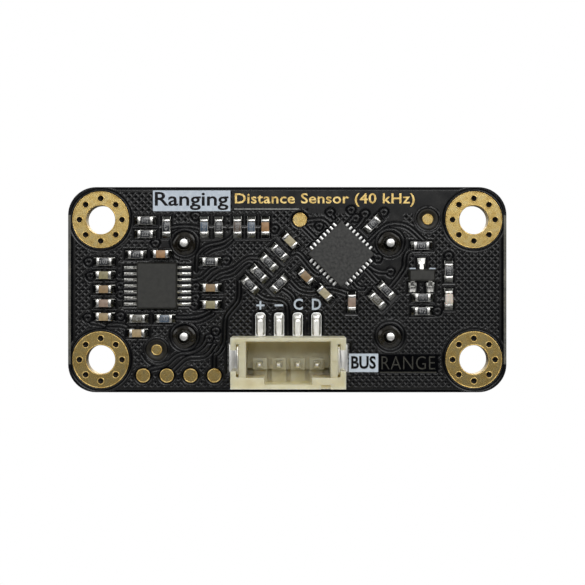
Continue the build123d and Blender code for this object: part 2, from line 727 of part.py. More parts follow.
# ---- build and write every node ----
def main():
    os.makedirs("parts", exist_ok=True)

    write("circuit_board", circuit_board())
    for name, hole in mounting_holes().items():
        write(f"mounting_ring_{name}", at(hole, mounting_ring()))
    test_pad = disc(TEST_PAD_RADIUS, COPPER)
    write("program_pads", *[at(place, test_pad) for place in program_pads()])
    write("test_pad", at(SINGLE_TEST_PAD, test_pad))
    write("fiducials", *[at(place, disc(FIDUCIAL_RADIUS, COPPER)) for place in FIDUCIALS])
    write("solder_pads", *solder_pads())

    resistor_coat = [Pos(0, 0, RESISTOR_HEIGHT) * overcoat()]
    write("resistor_bodies", *placed_chips(RESISTORS, [chip_body(RESISTOR_HEIGHT, TERMINAL_SKIN)]))
    write("resistor_end_caps", *placed_chips(RESISTORS, chip_caps(RESISTOR_HEIGHT, TERMINAL_SKIN)))
    write("resistor_overcoats", *placed_chips(RESISTORS, resistor_coat))
    write("capacitor_bodies", *placed_chips(CAPACITORS, [chip_body(CAPACITOR_HEIGHT, TERMINAL_SKIN)]))
    write("capacitor_end_caps", *placed_chips(CAPACITORS, chip_caps(CAPACITOR_HEIGHT, TERMINAL_SKIN)))
    heights = [RESISTOR_HEIGHT] * len(RESISTORS) + [CAPACITOR_HEIGHT] * len(CAPACITORS)
    places = [*RESISTORS, *CAPACITORS, LED_PLACE]
    joints = [chip_joints(place, h) for place, h in zip(places, [*heights, LED_BASE_HEIGHT])]
    write("chip_solder_joints", *[wedge for pair in joints for wedge in pair])

    led_base, led_lens, led_caps = led_pieces()
    write("led_base", *placed_chips([LED_PLACE], [led_base]))
    write("led_lens", *placed_chips([LED_PLACE], [led_lens]))
    write("led_end_caps", *placed_chips([LED_PLACE], led_caps))

    body, terminals, thermal = microcontroller()
    write("microcontroller_body", *placed_chips([MCU_PLACE], [body]))
    write("microcontroller_terminals", *placed_chips([MCU_PLACE], terminals))
    write("microcontroller_thermal_pad", *placed_chips([MCU_PLACE], [thermal]))
    body, leads = amplifier()
    write("amplifier_body", *placed_chips([AMP_PLACE], [body]))
    write("amplifier_leads", *placed_chips([AMP_PLACE], leads))
    body, leads = regulator()
    write("regulator_body", *placed_chips([REGULATOR_PLACE], [body]))
    write("regulator_leads", *placed_chips([REGULATOR_PLACE], leads))
    write("lead_solder_joints", *lead_joints())

    housing, pins, solder, tabs = header()
    write("header_housing", *housing)
    for number, pin in enumerate(pins, 1):
        write(f"header_pin_{number}", pin)
    write("header_solder_joints", *solder)
    write("header_tab_right", tabs[0])
    write("header_tab_left", tabs[1])

    for side, name in ((-1, "left"), (1, "right")):
        for piece, solid in transducer(side * TRANSDUCER_X).items():
            write(f"{name}_transducer_{piece}", solid)
        joints = [at(pin, pin_joint()) for pin in transducer_pins(side * TRANSDUCER_X)]
        write(f"{name}_transducer_solder_joints", *joints)


main()
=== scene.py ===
import math
import bpy
import numpy as np
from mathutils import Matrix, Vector


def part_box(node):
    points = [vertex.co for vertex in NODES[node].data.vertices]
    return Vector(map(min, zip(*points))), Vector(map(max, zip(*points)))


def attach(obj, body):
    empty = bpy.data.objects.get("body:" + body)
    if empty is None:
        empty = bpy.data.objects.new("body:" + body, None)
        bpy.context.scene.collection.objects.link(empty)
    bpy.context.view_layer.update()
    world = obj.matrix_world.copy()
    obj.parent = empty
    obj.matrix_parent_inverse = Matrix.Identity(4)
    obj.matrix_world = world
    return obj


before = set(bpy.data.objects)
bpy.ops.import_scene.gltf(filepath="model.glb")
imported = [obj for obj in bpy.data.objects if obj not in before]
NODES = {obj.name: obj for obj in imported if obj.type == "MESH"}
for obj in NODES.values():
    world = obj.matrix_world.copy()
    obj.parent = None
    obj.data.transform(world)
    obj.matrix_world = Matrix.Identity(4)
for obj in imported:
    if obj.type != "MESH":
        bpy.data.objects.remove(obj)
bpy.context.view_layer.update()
MM = 0.001

# Lengths below are in millimetres on the board: x to the right and z up, as seen from the component
# side, which faces -Y. A height is how far something stands out of the component face.

BOARD_CORNER = 3.0

# ---- the relief of the solder mask ----
HATCH_PITCH = 0.5
HATCH_LINE = 0.2
GRID = HATCH_PITCH * 2 ** 0.5 / 9  # spacing of the relief's points: a whole number of steps to the hatch
REAR_GRID = 2 * GRID
PROBE = 0.012  # how far apart the heights are taken for a point's slope
MASK_LOW = 0.010  # mask over bare laminate
MASK_RISE = 0.034  # how much higher it is over copper
SOFT = 0.12  # width of a slope between the two
TRACE_WIDTH = 0.2
CLEARANCE = 0.2
POUR_BORDER = 0.2
POUR_EDGE = 0.3  # how far the poured copper stays from the mask's outline
EDGE_BORDER = (0.25, 0.55)  # the unbroken strip of it along that outline
MASK_OPENING = 0.06
PAD_LIP = 0.16
EDGE_STRIP = 0.28  # bare laminate along the left and right edges
EDGE_GAP = 0.06
VIA_PAD = 0.4
VIA_HOLE = 0.15
VIA_RING = 0.27  # radius and width of the copper round a via
VIA_RING_WIDTH = 0.2
RING_LIP = 0.14
RING_OPENING = 2.8  # where the mask is left away round a bolt hole, and round a pin
JOINT_OPENING = 0.9
WINDOW_EDGE = 1.14  # round a fiducial: the clear circle's edge, the copper line round it, and the pour's edge
WINDOW_LINE = 1.3
WINDOW_CLEAR = 1.22
JOINT_LINE = 1.45  # the same round a transducer's pin
JOINT_CLEAR = 1.5
SHADED_SLOPE = 1.4  # the surface is shaded as if its slopes were this much steeper

# the coarser copper on the side with the transducers
REAR_HATCH_PITCH = 0.9
REAR_HATCH_LINE = 0.4
REAR_TRACE_WIDTH = 0.3
REAR_CLEARANCE = 0.25
REAR_BORDER = 0.25
REAR_SOFT = 0.18
REAR_VIA_SOFT = 0.16

# ---- the gold and the printing ----
STITCH_CIRCLE = 2.28  # radius of the circle of eight small vias in each gold ring
STITCH_RIM = 0.345  # radius of the raised edge round such a via, and round a bolt hole
HOLE_RIM = 1.62
RIM_WIDTH = 0.12
RIM_HEIGHT = 0.04
RIM_SHAPE = ((-0.5, -0.125), (-0.25, 0.75), (0, 1), (0.25, 0.75), (0.5, -0.125))  # in widths and heights
PRINT_BASE = 0.046
PRINT_TOP = 0.058
WORD_TOP = 0.064  # top of a word that lies on a printed panel
RAISED_WORD = (0.008, 0.05)  # a word and a rule that show only as raised mask

TRACES = (
    ((8.52, 4.87), (8.94, 5.4), (9.71, 6.17), (10.47, 6.82), (11.08, 7.03), (12.0, 7.03), (12.84, 6.78),
     (13.54, 6.25), (14.15, 5.64), (14.53, 5.29)),
    ((13.23, 4.33), (12.77, 3.95), (12.57, 3.18), (12.57, 2.42), (12.3, 1.96), (11.7, 1.12), (10.93, 0.2)),
    ((8.64, 2.57), (9.25, 2.11), (9.86, 1.88), (10.62, 1.88), (11.05, 1.88)),
    ((8.4, 2.26), (9.78, 0.81)),
    ((7.1, 0.73), (7.41, 0.28), (7.87, 0.12), (8.18, 0.16)),
    ((4.04, 0.19), (4.8, 0.16), (5.57, -0.03), (6.18, -0.26), (6.89, -0.6)),
    ((0.51, 3.8), (0.9, 4.03), (1.36, 3.8), (1.9, 3.18), (2.36, 2.57), (2.97, 1.88), (3.35, 1.73)),
    ((2.2, 7.32), (2.97, 7.47), (3.73, 7.47), (4.27, 7.08), (4.58, 6.55)),
    ((1.75, 6.71), (2.97, 5.48)),
    ((7.11, 6.32), (8.18, 7.4), (8.33, 8.08)),
    ((6.5, 6.71), (6.87, 7.55), (7.33, 7.62)),
    ((4.58, 8.23), (4.96, 7.62)),
    ((8.9, 3.9), (9.3, 3.75), (9.71, 3.33)),
    ((-3.31, -0.42), (-2.77, -0.88), (-2.17, -1.1), (-1.39, -1.15), (-0.78, -1.18), (-0.25, -1.49),
     (-0.02, -1.95), (0.06, -3.17), (0.06, -4.78)),
    ((-0.47, 0.12), (0.14, -0.26), (0.75, -0.88), (1.05, -2.4)),
    ((0.21, 1.11), (0.75, 0.5), (1.21, 0.04), (1.82, -0.18), (2.58, -0.23), (2.97, -0.18)),
    ((-3.08, 3.38), (-3.92, 3.41), (-4.31, 3.33), (-4.84, 2.96), (-5.46, 2.42), (-5.99, 2.11), (-6.6, 1.89),
     (-7.21, 1.73), (-7.75, 1.35), (-8.29, 0.81)),
    ((-3.77, 2.87), (-4.07, 3.07), (-4.53, 2.87), (-5.07, 2.34), (-5.68, 1.73), (-6.37, 1.5), (-6.99, 1.43),
     (-7.52, 1.11)),
    ((-12.5, 6.62), (-11.96, 6.71), (-10.96, 6.78), (-10.04, 6.71), (-9.43, 6.51)),
    ((-5.76, 5.86), (-6.37, 5.33), (-6.99, 5.02), (-7.75, 4.87), (-8.51, 4.72), (-9.13, 4.33), (-9.58, 3.79),
     (-9.7, 3.18), (-9.74, 2.04)),
    ((-5.99, 5.25), (-6.6, 4.72), (-7.14, 4.48), (-8.13, 4.26), (-8.75, 3.79)),
    ((-10.2, 1.04), (-9.82, 1.04), (-9.21, 1.26), (-8.67, 1.65), (-8.29, 2.11), (-7.82, 2.4), (-6.53, 3.11)),
    ((-10.2, 0.31), (-9.82, 0.28)),
    ((-10.2, -0.26), (-9.36, -0.26)),
    ((-11.96, -3.02), (-10.2, -2.98), (-9.51, -2.86), (-8.9, -2.64), (-8.36, -2.33)),
    ((-11.89, -3.4), (-10.43, -3.47), (-9.51, -3.44), (-8.75, -3.1), (-7.97, -2.64)),
    ((-5.14, 0.9), (-5.14, -1.1), (-5.53, -1.64), (-6.14, -2.33), (-6.53, -2.86), (-6.68, -3.63),
     (-6.75, -4.78), (-6.75, -5.7), (-7.06, -6.39), (-7.44, -6.85), (-7.82, -6.96), (-7.83, -8.6)),
    ((-8.51, -5.0), (-8.82, -5.85), (-9.43, -6.39), (-10.2, -6.77), (-10.89, -6.85), (-11.58, -6.88),
     (-12.19, -7.31), (-12.88, -8.0), (-13.6, -8.3), (-14.72, -8.49), (-15.2, -8.9)),
    ((-7.82, -5.93), (-8.21, -6.61), (-8.82, -7.12), (-9.43, -7.22), (-10.28, -7.19), (-10.89, -7.38),
     (-11.43, -7.85), (-12.19, -8.61), (-12.6, -8.9)),
    ((-21.0, -3.56), (-20.2, -3.63), (-19.6, -3.93)),
    ((-19.2, -3.78), (-17.8, -3.78), (-17.3, -4.01)),
    ((-18.54, 1.19), (-17.6, 1.04)),
    ((-15.4, -6.9), (-14.9, -7.7), (-13.9, -8.1), (-12.9, -7.8)),
)
VIAS = (
    (6.84, 8.5), (7.33, 7.62), (8.33, 8.08), (10.35, 8.27), (9.71, 3.33), (11.05, 1.88), (3.43, 6.78),
    (-1.39, 6.47), (4.58, 8.23), (-9.85, 7.86), (-6.53, 3.11), (-9.82, 0.28), (-9.82, -0.91), (-9.97, -1.71),
    (-7.67, -4.47), (-8.36, -5.24), (-21.4, -3.02), (-21.1, 1.43), (-21.3, 2.96), (-14.14, 4.94),
    (-17.9, 0.43), (-17.9, -0.49), (-17.9, -2.86), (16.1, -2.33), (17.3, 3.57),
)
# where the copper is a solid area and not a hatch: x from, x to, z from, z to
SOLID_AREAS = (
    (-6.0, 14.2, 8.72, 11.0), (2.2, 23.5, 8.1, 11.0), (9.3, 12.5, 0.6, 8.3), (-15.0, -12.6, 4.5, 5.3),
)
# where there is no copper in this layer
BARE_AREAS = ((-1.6, 3.8, -10.9, -3.6), (9.7, 16.2, -9.0, -6.9))
REAR_TRACES = (
    ((-11.0, 5.0), (-9.0, 7.2), (-4.0, 8.6), (-1.0, 8.6), (0.0, 7.0), (0.0, 4.0), (1.6, 2.4), (1.6, -3.0)),
    ((-11.0, -5.0), (-8.6, -7.6), (-3.4, -8.8), (-1.4, -7.2), (-1.4, -2.4)),
    ((11.0, 5.0), (8.8, 7.4), (4.4, 8.9), (2.0, 8.9)),
    ((11.0, -5.0), (8.4, -7.8), (3.6, -8.9), (0.6, -6.4), (0.6, -1.0)),
)
REAR_VIAS = (
    (0.0, 4.0), (1.6, -3.0), (-1.4, -2.4), (0.6, -1.0), (2.0, 8.9), (-2.4, 5.6), (-2.2, 1.4), (2.6, 5.2),
)


# ---- reading the CAD nodes ----
def welded(node):
    """A node's distinct points in millimetres, each vertex's number among them, and each point's solid."""
    mesh = NODES[node].data
    co = np.zeros(len(mesh.vertices) * 3)
    mesh.vertices.foreach_get("co", co)
    points, index = np.unique(np.round(co.reshape(-1, 3) / MM, 4), axis=0, return_inverse=True)
    index = index.ravel()
    edges = np.zeros(len(mesh.edges) * 2, np.int64)
    mesh.edges.foreach_get("vertices", edges)
    a, b = index[edges.reshape(-1, 2)].T
    label = np.arange(len(points))
    while True:
        lowest = np.minimum(label[a], label[b])
        before = label.copy()
        np.minimum.at(label, a, lowest)
        np.minimum.at(label, b, lowest)
        label = label[label]
        if np.array_equal(before, label):
            return points, index, label


def solids_of(node):
    """The points of each separate solid of a node."""
    points, _, label = welded(node)
    return [points[label == n] for n in np.unique(label)]


def hull(points):
    """The convex outline, anticlockwise, of points given as x and z."""
    ordered = sorted(map(tuple, np.unique(np.round(points, 3), axis=0)))

    def half(run):
        chain = []
        for p in run:
            while len(chain) > 1 and (
                (chain[-1][0] - chain[-2][0]) * (p[1] - chain[-2][1])
                - (chain[-1][1] - chain[-2][1]) * (p[0] - chain[-2][0])
            ) <= 1e-9:
                chain.pop()
            chain.append(p)
        return chain[:-1]

    return np.array(half(ordered) + half(ordered[::-1]))


def disc_of(node):
    """Centre x, z and radius of a round node, from its box."""
    low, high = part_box(node)
    return (low.x + high.x) / 2 / MM, (low.z + high.z) / 2 / MM, (high.x - low.x) / 2 / MM


def discs_in(node):
    """Centre x, z and radius of each round solid of a node."""
    found = []
    for points in solids_of(node):
        low, high = points.min(0), points.max(0)
        found.append(((low[0] + high[0]) / 2, (low[2] + high[2]) / 2, (high[0] - low[0]) / 2))
    return found


RINGS = [disc_of(n) for n in sorted(NODES) if n.startswith("mounting_ring")]
PROGRAM_PADS = discs_in("program_pads")
TEST_PAD = disc_of("test_pad")
FIDUCIALS = discs_in("fiducials")
PIN_JOINTS = discs_in("left_transducer_solder_joints") + discs_in("right_transducer_solder_joints")
PAD_HULLS = [hull(p[:, [0, 2]]) for p in solids_of("solder_pads")]
BOARD_LOW, BOARD_HIGH = (Vector(c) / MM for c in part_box("circuit_board"))


# ---- materials ----
def new_material(name):
    """A new material, its nodes, its links and its shader."""
    mat = bpy.data.materials.new(name)
    mat.use_nodes = True
    return mat, mat.node_tree.nodes, mat.node_tree.links, mat.node_tree.nodes["Principled BSDF"]


def place(nodes, links, stretch=(1, 1, 1)):
    """Object coordinates, with each axis scaled."""
    coords = nodes.new("ShaderNodeTexCoord")
    mapping = nodes.new("ShaderNodeMapping")
    mapping.inputs["Scale"].default_value = stretch
    links.new(coords.outputs["Object"], mapping.inputs["Vector"])
    return mapping.outputs["Vector"]


def noise(nodes, links, vector, size, detail=3.0, rough=0.55):
    """Noise whose features are about size millimetres across."""
    n = nodes.new("ShaderNodeTexNoise")
    n.inputs["Scale"].default_value = 1 / (size * MM)
    n.inputs["Detail"].default_value = detail
    n.inputs["Roughness"].default_value = rough
    links.new(vector, n.inputs["Vector"])
    return n.outputs["Fac"]


def ramp(nodes, links, fac, tones, low=0.32, high=0.68):
    """Colours spread evenly over a factor's range from low to high."""
    r = nodes.new("ShaderNodeValToRGB")
    elements = r.color_ramp.elements
    while len(elements) < len(tones):
        elements.new(0.5)
    for i, tone in enumerate(tones):
        elements[i].position = low + (high - low) * i / (len(tones) - 1)
        elements[i].color = (*tone, 1)
    links.new(fac, r.inputs["Fac"])
    return r.outputs["Color"]


def spread(nodes, links, fac, low, high):
    """A factor's usual range, stretched to run from low to high."""
    m = nodes.new("ShaderNodeMapRange")
    m.inputs["From Min"].default_value = 0.3
    m.inputs["From Max"].default_value = 0.7
    m.inputs["To Min"].default_value = low
    m.inputs["To Max"].default_value = high
    links.new(fac, m.inputs["Value"])
    return m.outputs["Result"]


def blend(nodes, links, fac, first, second, mode="MIX"):
    """Two colours mixed. Each value is a number, a colour or another node's output."""
    m = nodes.new("ShaderNodeMix")
    m.data_type = "RGBA"
    m.blend_type = mode
    for socket, value in ((m.inputs[0], fac), (m.inputs[6], first), (m.inputs[7], second)):
        if isinstance(value, bpy.types.NodeSocket):
            links.new(value, socket)
        else:
            socket.default_value = value if socket.type == "VALUE" else (*value, 1)
    return m.outputs[2]


def maths(nodes, links, operation, *values):
    """A sum on numbers or other nodes' outputs."""
    m = nodes.new("ShaderNodeMath")
    m.operation = operation
    for socket, value in zip(m.inputs, values):
        if isinstance(value, bpy.types.NodeSocket):
            links.new(value, socket)
        else:
            socket.default_value = value
    return m.outputs[0]


def bump(nodes, links, bsdf, *layers):
    """Fine unevenness, from layers of a factor and its depth in millimetres."""
    total = None
    for factor, depth in layers:
        layer = maths(nodes, links, "MULTIPLY", factor, depth)
        total = layer if total is None else maths(nodes, links, "ADD", total, layer)
    b = nodes.new("ShaderNodeBump")
    b.inputs["Distance"].default_value = MM
    b.inputs["Strength"].default_value = 1.0
    links.new(total, b.inputs["Height"])
    links.new(b.outputs["Normal"], bsdf.inputs["Normal"])


def fixed(bsdf, **values):
    """Sets plain values, named as the sockets are, with an underline for each space."""
    for name, value in values.items():
        bsdf.inputs[name.replace("_", " ")].default_value = value


def surface(name, tones, rough, blotch=0.6, grain=0.03, depth=0.0012, wave=0.0, stretch=(1, 1, 1), **values):
    """A finish with uneven colour and roughness, a fine grain and a gentle wave. Sizes are in millimetres."""
    mat, nodes, links, bsdf = new_material(name)
    vector = place(nodes, links, stretch)
    cloud = noise(nodes, links, vector, blotch)
    fine = noise(nodes, links, vector, grain, 2.0)
    speckle = blend(nodes, links, 0.25, ramp(nodes, links, cloud, tones), ramp(nodes, links, fine, tones))
    links.new(speckle, bsdf.inputs["Base Color"])
    uneven = maths(nodes, links, "ADD", maths(nodes, links, "MULTIPLY", cloud, 0.6),
                   maths(nodes, links, "MULTIPLY", fine, 0.4))
    links.new(spread(nodes, links, uneven, *rough), bsdf.inputs["Roughness"])
    bump(nodes, links, bsdf, (fine, depth), (cloud, wave))
    fixed(bsdf, **values)
    return mat


def mask_finish(nodes, links, bsdf, vector, base, gloss):
    """The gloss and faint unevenness of cured solder mask."""
    cloud = noise(nodes, links, vector, 1.4, 4.0)
    peel = noise(nodes, links, vector, 0.12, 2.0)
    tone = ramp(nodes, links, cloud, ((0.72, 0.74, 0.8), (1.0, 1.0, 1.0), (1.25, 1.2, 1.12)))
    links.new(blend(nodes, links, 1.0, base, tone, "MULTIPLY"), bsdf.inputs["Base Color"])
    links.new(spread(nodes, links, cloud, 0.14, 0.24), bsdf.inputs["Roughness"])
    bump(nodes, links, bsdf, (peel, 0.001))
    links.new(gloss, bsdf.inputs["Specular IOR Level"])


def mask_material(name):
    """Solder mask, lighter and glossier where it lies over copper than where it sinks into the laminate."""
    mat, nodes, links, bsdf = new_material(name)
    over = nodes.new("ShaderNodeAttribute")
    over.attribute_name = "over_copper"
    base = blend(nodes, links, over.outputs["Fac"], (0.001, 0.0011, 0.0017), (0.0072, 0.0071, 0.0069))
    gloss = maths(nodes, links, "MULTIPLY_ADD", over.outputs["Fac"], 0.34, 0.08)
    mask_finish(nodes, links, bsdf, place(nodes, links), base, gloss)
    return mat


def board_material(name):
    """Solder mask on the two faces, and layered glass laminate on the edges and the bare strips."""
    mat, nodes, links, bsdf = new_material(name)
    vector = place(nodes, links)
    split = nodes.new("ShaderNodeSeparateXYZ")
    links.new(vector, split.inputs[0])
    geometry = nodes.new("ShaderNodeNewGeometry")
    facing = nodes.new("ShaderNodeSeparateXYZ")
    links.new(geometry.outputs["Normal"], facing.inputs[0])
    flatness = maths(nodes, links, "ABSOLUTE", facing.outputs[1])
    flat = maths(nodes, links, "GREATER_THAN", flatness, 0.6)
    # the bare strips run along the sides, as far as the rounded corners
    aside = maths(nodes, links, "ABSOLUTE", split.outputs[0])
    covered = maths(nodes, links, "LESS_THAN", aside, (BOARD_HIGH.x - EDGE_STRIP) * MM)
    upward = maths(nodes, links, "ABSOLUTE", split.outputs[2])
    cornered = maths(nodes, links, "GREATER_THAN", upward, (BOARD_HIGH.z - BOARD_CORNER) * MM)
    inside = maths(nodes, links, "MAXIMUM", covered, cornered)
    layers = noise(nodes, links, place(nodes, links, (0.5, 9.0, 0.5)), 1.0, 4.0)
    weave = noise(nodes, links, place(nodes, links, (1.0, 1.0, 6.0)), 0.5, 3.0)
    resin = ramp(nodes, links, layers, ((0.035, 0.034, 0.026), (0.15, 0.145, 0.12)))
    glass = ramp(nodes, links, weave, ((0.07, 0.07, 0.06), (0.2, 0.2, 0.18)))
    laminate = blend(nodes, links, 0.5, resin, glass)
    masked = maths(nodes, links, "MULTIPLY", flat, inside)
    base = blend(nodes, links, masked, laminate, (0.006, 0.006, 0.007))
    mask_finish(nodes, links, bsdf, vector, base, maths(nodes, links, "MULTIPLY_ADD", masked, -0.2, 0.4))
    return mat


def gold_material(name, rough):
    """Immersion gold over plated copper: dappled, a little tarnished, with fine polishing scratches."""
    mat, nodes, links, bsdf = new_material(name)
    vector = place(nodes, links)
    cloud = noise(nodes, links, vector, 0.6, 3.0)
    scratch = noise(nodes, links, place(nodes, links, (6.0, 6.0, 0.8)), 0.3, 3.0)
    grain = noise(nodes, links, vector, 0.05, 2.0)
    tone = ramp(nodes, links, cloud, ((0.5, 0.34, 0.11), (0.74, 0.54, 0.2), (0.86, 0.67, 0.3)), 0.32, 0.66)
    worn = ramp(nodes, links, scratch, ((0.7, 0.66, 0.6), (1.0, 1.0, 1.0)), 0.3, 0.55)
    links.new(blend(nodes, links, 0.8, tone, worn, "MULTIPLY"), bsdf.inputs["Base Color"])
    links.new(spread(nodes, links, cloud, *rough), bsdf.inputs["Roughness"])
    bump(nodes, links, bsdf, (grain, 0.0003), (scratch, 0.001), (cloud, 0.002))
    fixed(bsdf, Metallic=1.0)
    return mat


METAL = {"Metallic": 1.0}
MASK = mask_material("solder_mask_relief")
GOLD = gold_material("immersion_gold", (0.3, 0.2))
GOLD_LETTERS = gold_material("gold_letters", (0.5, 0.42))
GOLD_EDGES = gold_material("gold_edges", (0.44, 0.36))
TIN = surface("tin_plate", ((0.55, 0.54, 0.5), (0.9, 0.89, 0.85)), (0.18, 0.34), 0.25, 0.04, 0.001, 0.005,
              **METAL)
SOLDER = surface("solder_alloy", ((0.5, 0.5, 0.49), (0.92, 0.92, 0.91)), (0.08, 0.22), 0.3, 0.08, 0.002,
                 0.012, **METAL)
# solder of the chip joints given a near-black colour: painted shade in place of the dark surroundings that
# bright solder would reflect
FILLET_PAINTED_DARK = surface("solder_fillet_painted_dark", ((0.03, 0.03, 0.027), (0.17, 0.17, 0.158)), (0.1, 0.26), 0.25, 0.06,
                 0.002, 0.008, **METAL)
# tin of the pads given a dark colour: painted shade in place of the dark surroundings that tinned pads would
# reflect
PAD_TIN_PAINTED_DARK = surface("tinned_pad_painted_dark", ((0.07, 0.07, 0.065), (0.3, 0.3, 0.28)), (0.2, 0.36), 0.25, 0.05, 0.001,
                  **METAL)
TERMINAL = surface("tinned_terminal", ((0.7, 0.7, 0.68), (0.95, 0.95, 0.93)), (0.42, 0.56), 0.3, 0.05,
                   **METAL)
HEADER_SOLDER = surface("header_solder", ((0.6, 0.59, 0.54), (0.92, 0.91, 0.86)), (0.3, 0.45), 0.4, 0.05,
                        0.001, 0.004, **METAL)
PIN_METAL = surface("tinned_contact", ((0.8, 0.79, 0.75), (0.97, 0.96, 0.92)), (0.3, 0.42), 0.5, 0.04, 0.0006,
                    0.003, (3.0, 3.0, 0.6), **METAL)
NYLON = surface("header_nylon", ((0.53, 0.48, 0.31), (0.61, 0.56, 0.38), (0.66, 0.615, 0.44)),
                (0.42, 0.56), 1.6, 0.05, 0.002, 0.01, Subsurface_Weight=1.0, Subsurface_Scale=0.0025,
                Subsurface_Radius=(1.0, 0.9, 0.7), Specular_IOR_Level=0.4)
PACKAGE = surface("moulded_epoxy", ((0.014, 0.0138, 0.0115), (0.03, 0.0295, 0.025)), (0.42, 0.6), 0.5,
                  0.045, 0.006, 0.008, Specular_IOR_Level=0.45)
MCU_PACKAGE = surface("moulded_epoxy_mottled", ((0.0005, 0.0005, 0.0006), (0.056, 0.0555, 0.051)),
                      (0.36, 0.6), 0.3, 0.05, 0.006, 0.012, Specular_IOR_Level=0.45)
CERAMIC = surface("resistor_ceramic", ((0.5, 0.49, 0.45), (0.72, 0.71, 0.68)), (0.45, 0.6), 0.3, 0.03)
COATS = {
    name: surface(f"resistor_coat_{name}", tones, (0.2, 0.34), 0.35, 0.05, Coat_Weight=0.3,
                  Coat_Roughness=0.15)
    for name, tones in {
        "dark": ((0.012, 0.013, 0.015), (0.03, 0.032, 0.035)),
        "bluish": ((0.04, 0.06, 0.09), (0.09, 0.125, 0.17)),
        "olive": ((0.05, 0.046, 0.032), (0.11, 0.1, 0.07)),
        "red": ((0.06, 0.045, 0.035), (0.13, 0.095, 0.075)),
    }.items()
}


def capacitor_ceramic(name, tone):
    darker = tuple(0.68 * c for c in tone)
    lighter = tuple(1.2 * c for c in tone)
    return surface(name, (darker, tone, lighter), (0.34, 0.5), 0.45, 0.03, 0.001, 0.006)


CERAMICS = {
    "orange": capacitor_ceramic("capacitor_orange", (0.34, 0.19, 0.085)),
    "brown": capacitor_ceramic("capacitor_brown", (0.27, 0.18, 0.09)),
    "tan": capacitor_ceramic("capacitor_tan", (0.34, 0.25, 0.13)),
    "pink": capacitor_ceramic("capacitor_pink", (0.28, 0.2, 0.15)),
    "olive": capacitor_ceramic("capacitor_olive", (0.27, 0.24, 0.13)),
    "cream": capacitor_ceramic("capacitor_cream", (0.4, 0.35, 0.22)),
}
LAMP_BASE = surface("lamp_base", ((0.6, 0.66, 0.55), (0.82, 0.88, 0.76)), (0.4, 0.55), 0.4, 0.04)
LAMP_LENS = surface("lamp_lens", ((0.44, 0.56, 0.4), (0.68, 0.55, 0.5), (0.76, 0.82, 0.7)), (0.1, 0.22), 0.55,
                    0.08, 0.001, 0.01, Subsurface_Weight=0.3, Subsurface_Scale=0.0003, Coat_Weight=0.6,
                    Coat_Roughness=0.08)
CAN_METAL = surface("drawn_aluminium", ((0.5, 0.51, 0.53), (0.74, 0.75, 0.77)), (0.26, 0.42), 0.6, 0.05,
                    0.001, 0.002, (0.35, 9.0, 0.35), **METAL)
CONE_METAL = surface("spun_aluminium", ((0.5, 0.5, 0.51), (0.78, 0.78, 0.79)), (0.22, 0.36), 0.5, 0.06,
                     0.001, 0.002, (0.5, 8.0, 0.5), **METAL)
SCREEN_METAL = surface("blackened_wire", ((0.05, 0.052, 0.056), (0.16, 0.165, 0.175)), (0.34, 0.52), 0.4,
                       0.04, 0.002, **METAL)
BASE_PLASTIC = surface("base_plastic", ((0.012, 0.012, 0.013), (0.03, 0.03, 0.032)), (0.46, 0.6), 0.8, 0.06,
                       0.004)
PIEZO = surface("piezo_ceramic", ((0.33, 0.3, 0.24), (0.5, 0.46, 0.38)), (0.5, 0.66), 0.6, 0.04, 0.002)
SILICONE = surface("silicone", ((0.6, 0.6, 0.58), (0.78, 0.78, 0.77)), (0.46, 0.6), 0.9, 0.08, 0.002,
                   Subsurface_Weight=0.2, Subsurface_Scale=0.0005)
COPPER_WIRE = surface("enamelled_copper", ((0.45, 0.2, 0.08), (0.78, 0.42, 0.22)), (0.18, 0.3), 0.4, 0.05,
                      Coat_Weight=0.5, Coat_Roughness=0.12, **METAL)
INK = surface("white_ink", ((0.46, 0.53, 0.6), (0.6, 0.66, 0.72)), (0.5, 0.64), 0.5, 0.04, 0.003)
DULL_INK = surface("thin_ink", ((0.1, 0.105, 0.1), (0.3, 0.3, 0.28)), (0.5, 0.64), 0.3, 0.04, 0.003)
CODE_INK = surface("code_ink", ((0.1, 0.1, 0.1), (0.36, 0.36, 0.35)), (0.5, 0.64), 0.2, 0.04)
RAISED_MASK = surface("raised_mask", ((0.014, 0.0135, 0.009), (0.034, 0.032, 0.022)), (0.3, 0.44), 0.4, 0.05)
RESIN = surface("hole_resin", ((0.005, 0.004, 0.003), (0.02, 0.012, 0.007)), (0.3, 0.5), 0.2, 0.05, 0.006,
                0.02, Specular_IOR_Level=0.2)
# near-black flux round the transducer pins: real flux residue, and also painted shade over the lower flanks
# of the solder
FLUX_WITH_PAINTED_SHADE = surface("flux_with_painted_shade", ((0.004, 0.0035, 0.003), (0.02, 0.017, 0.011)), (0.1, 0.24), 0.3, 0.08,
               0.004, 0.02, Specular_IOR_Level=0.3)
WINDOW = surface("bare_laminate", ((0.003, 0.0025, 0.001), (0.016, 0.013, 0.006)), (0.3, 0.45), 0.5, 0.05,
                 0.004, Specular_IOR_Level=0.3)
BOARD = board_material("laminate_and_mask")

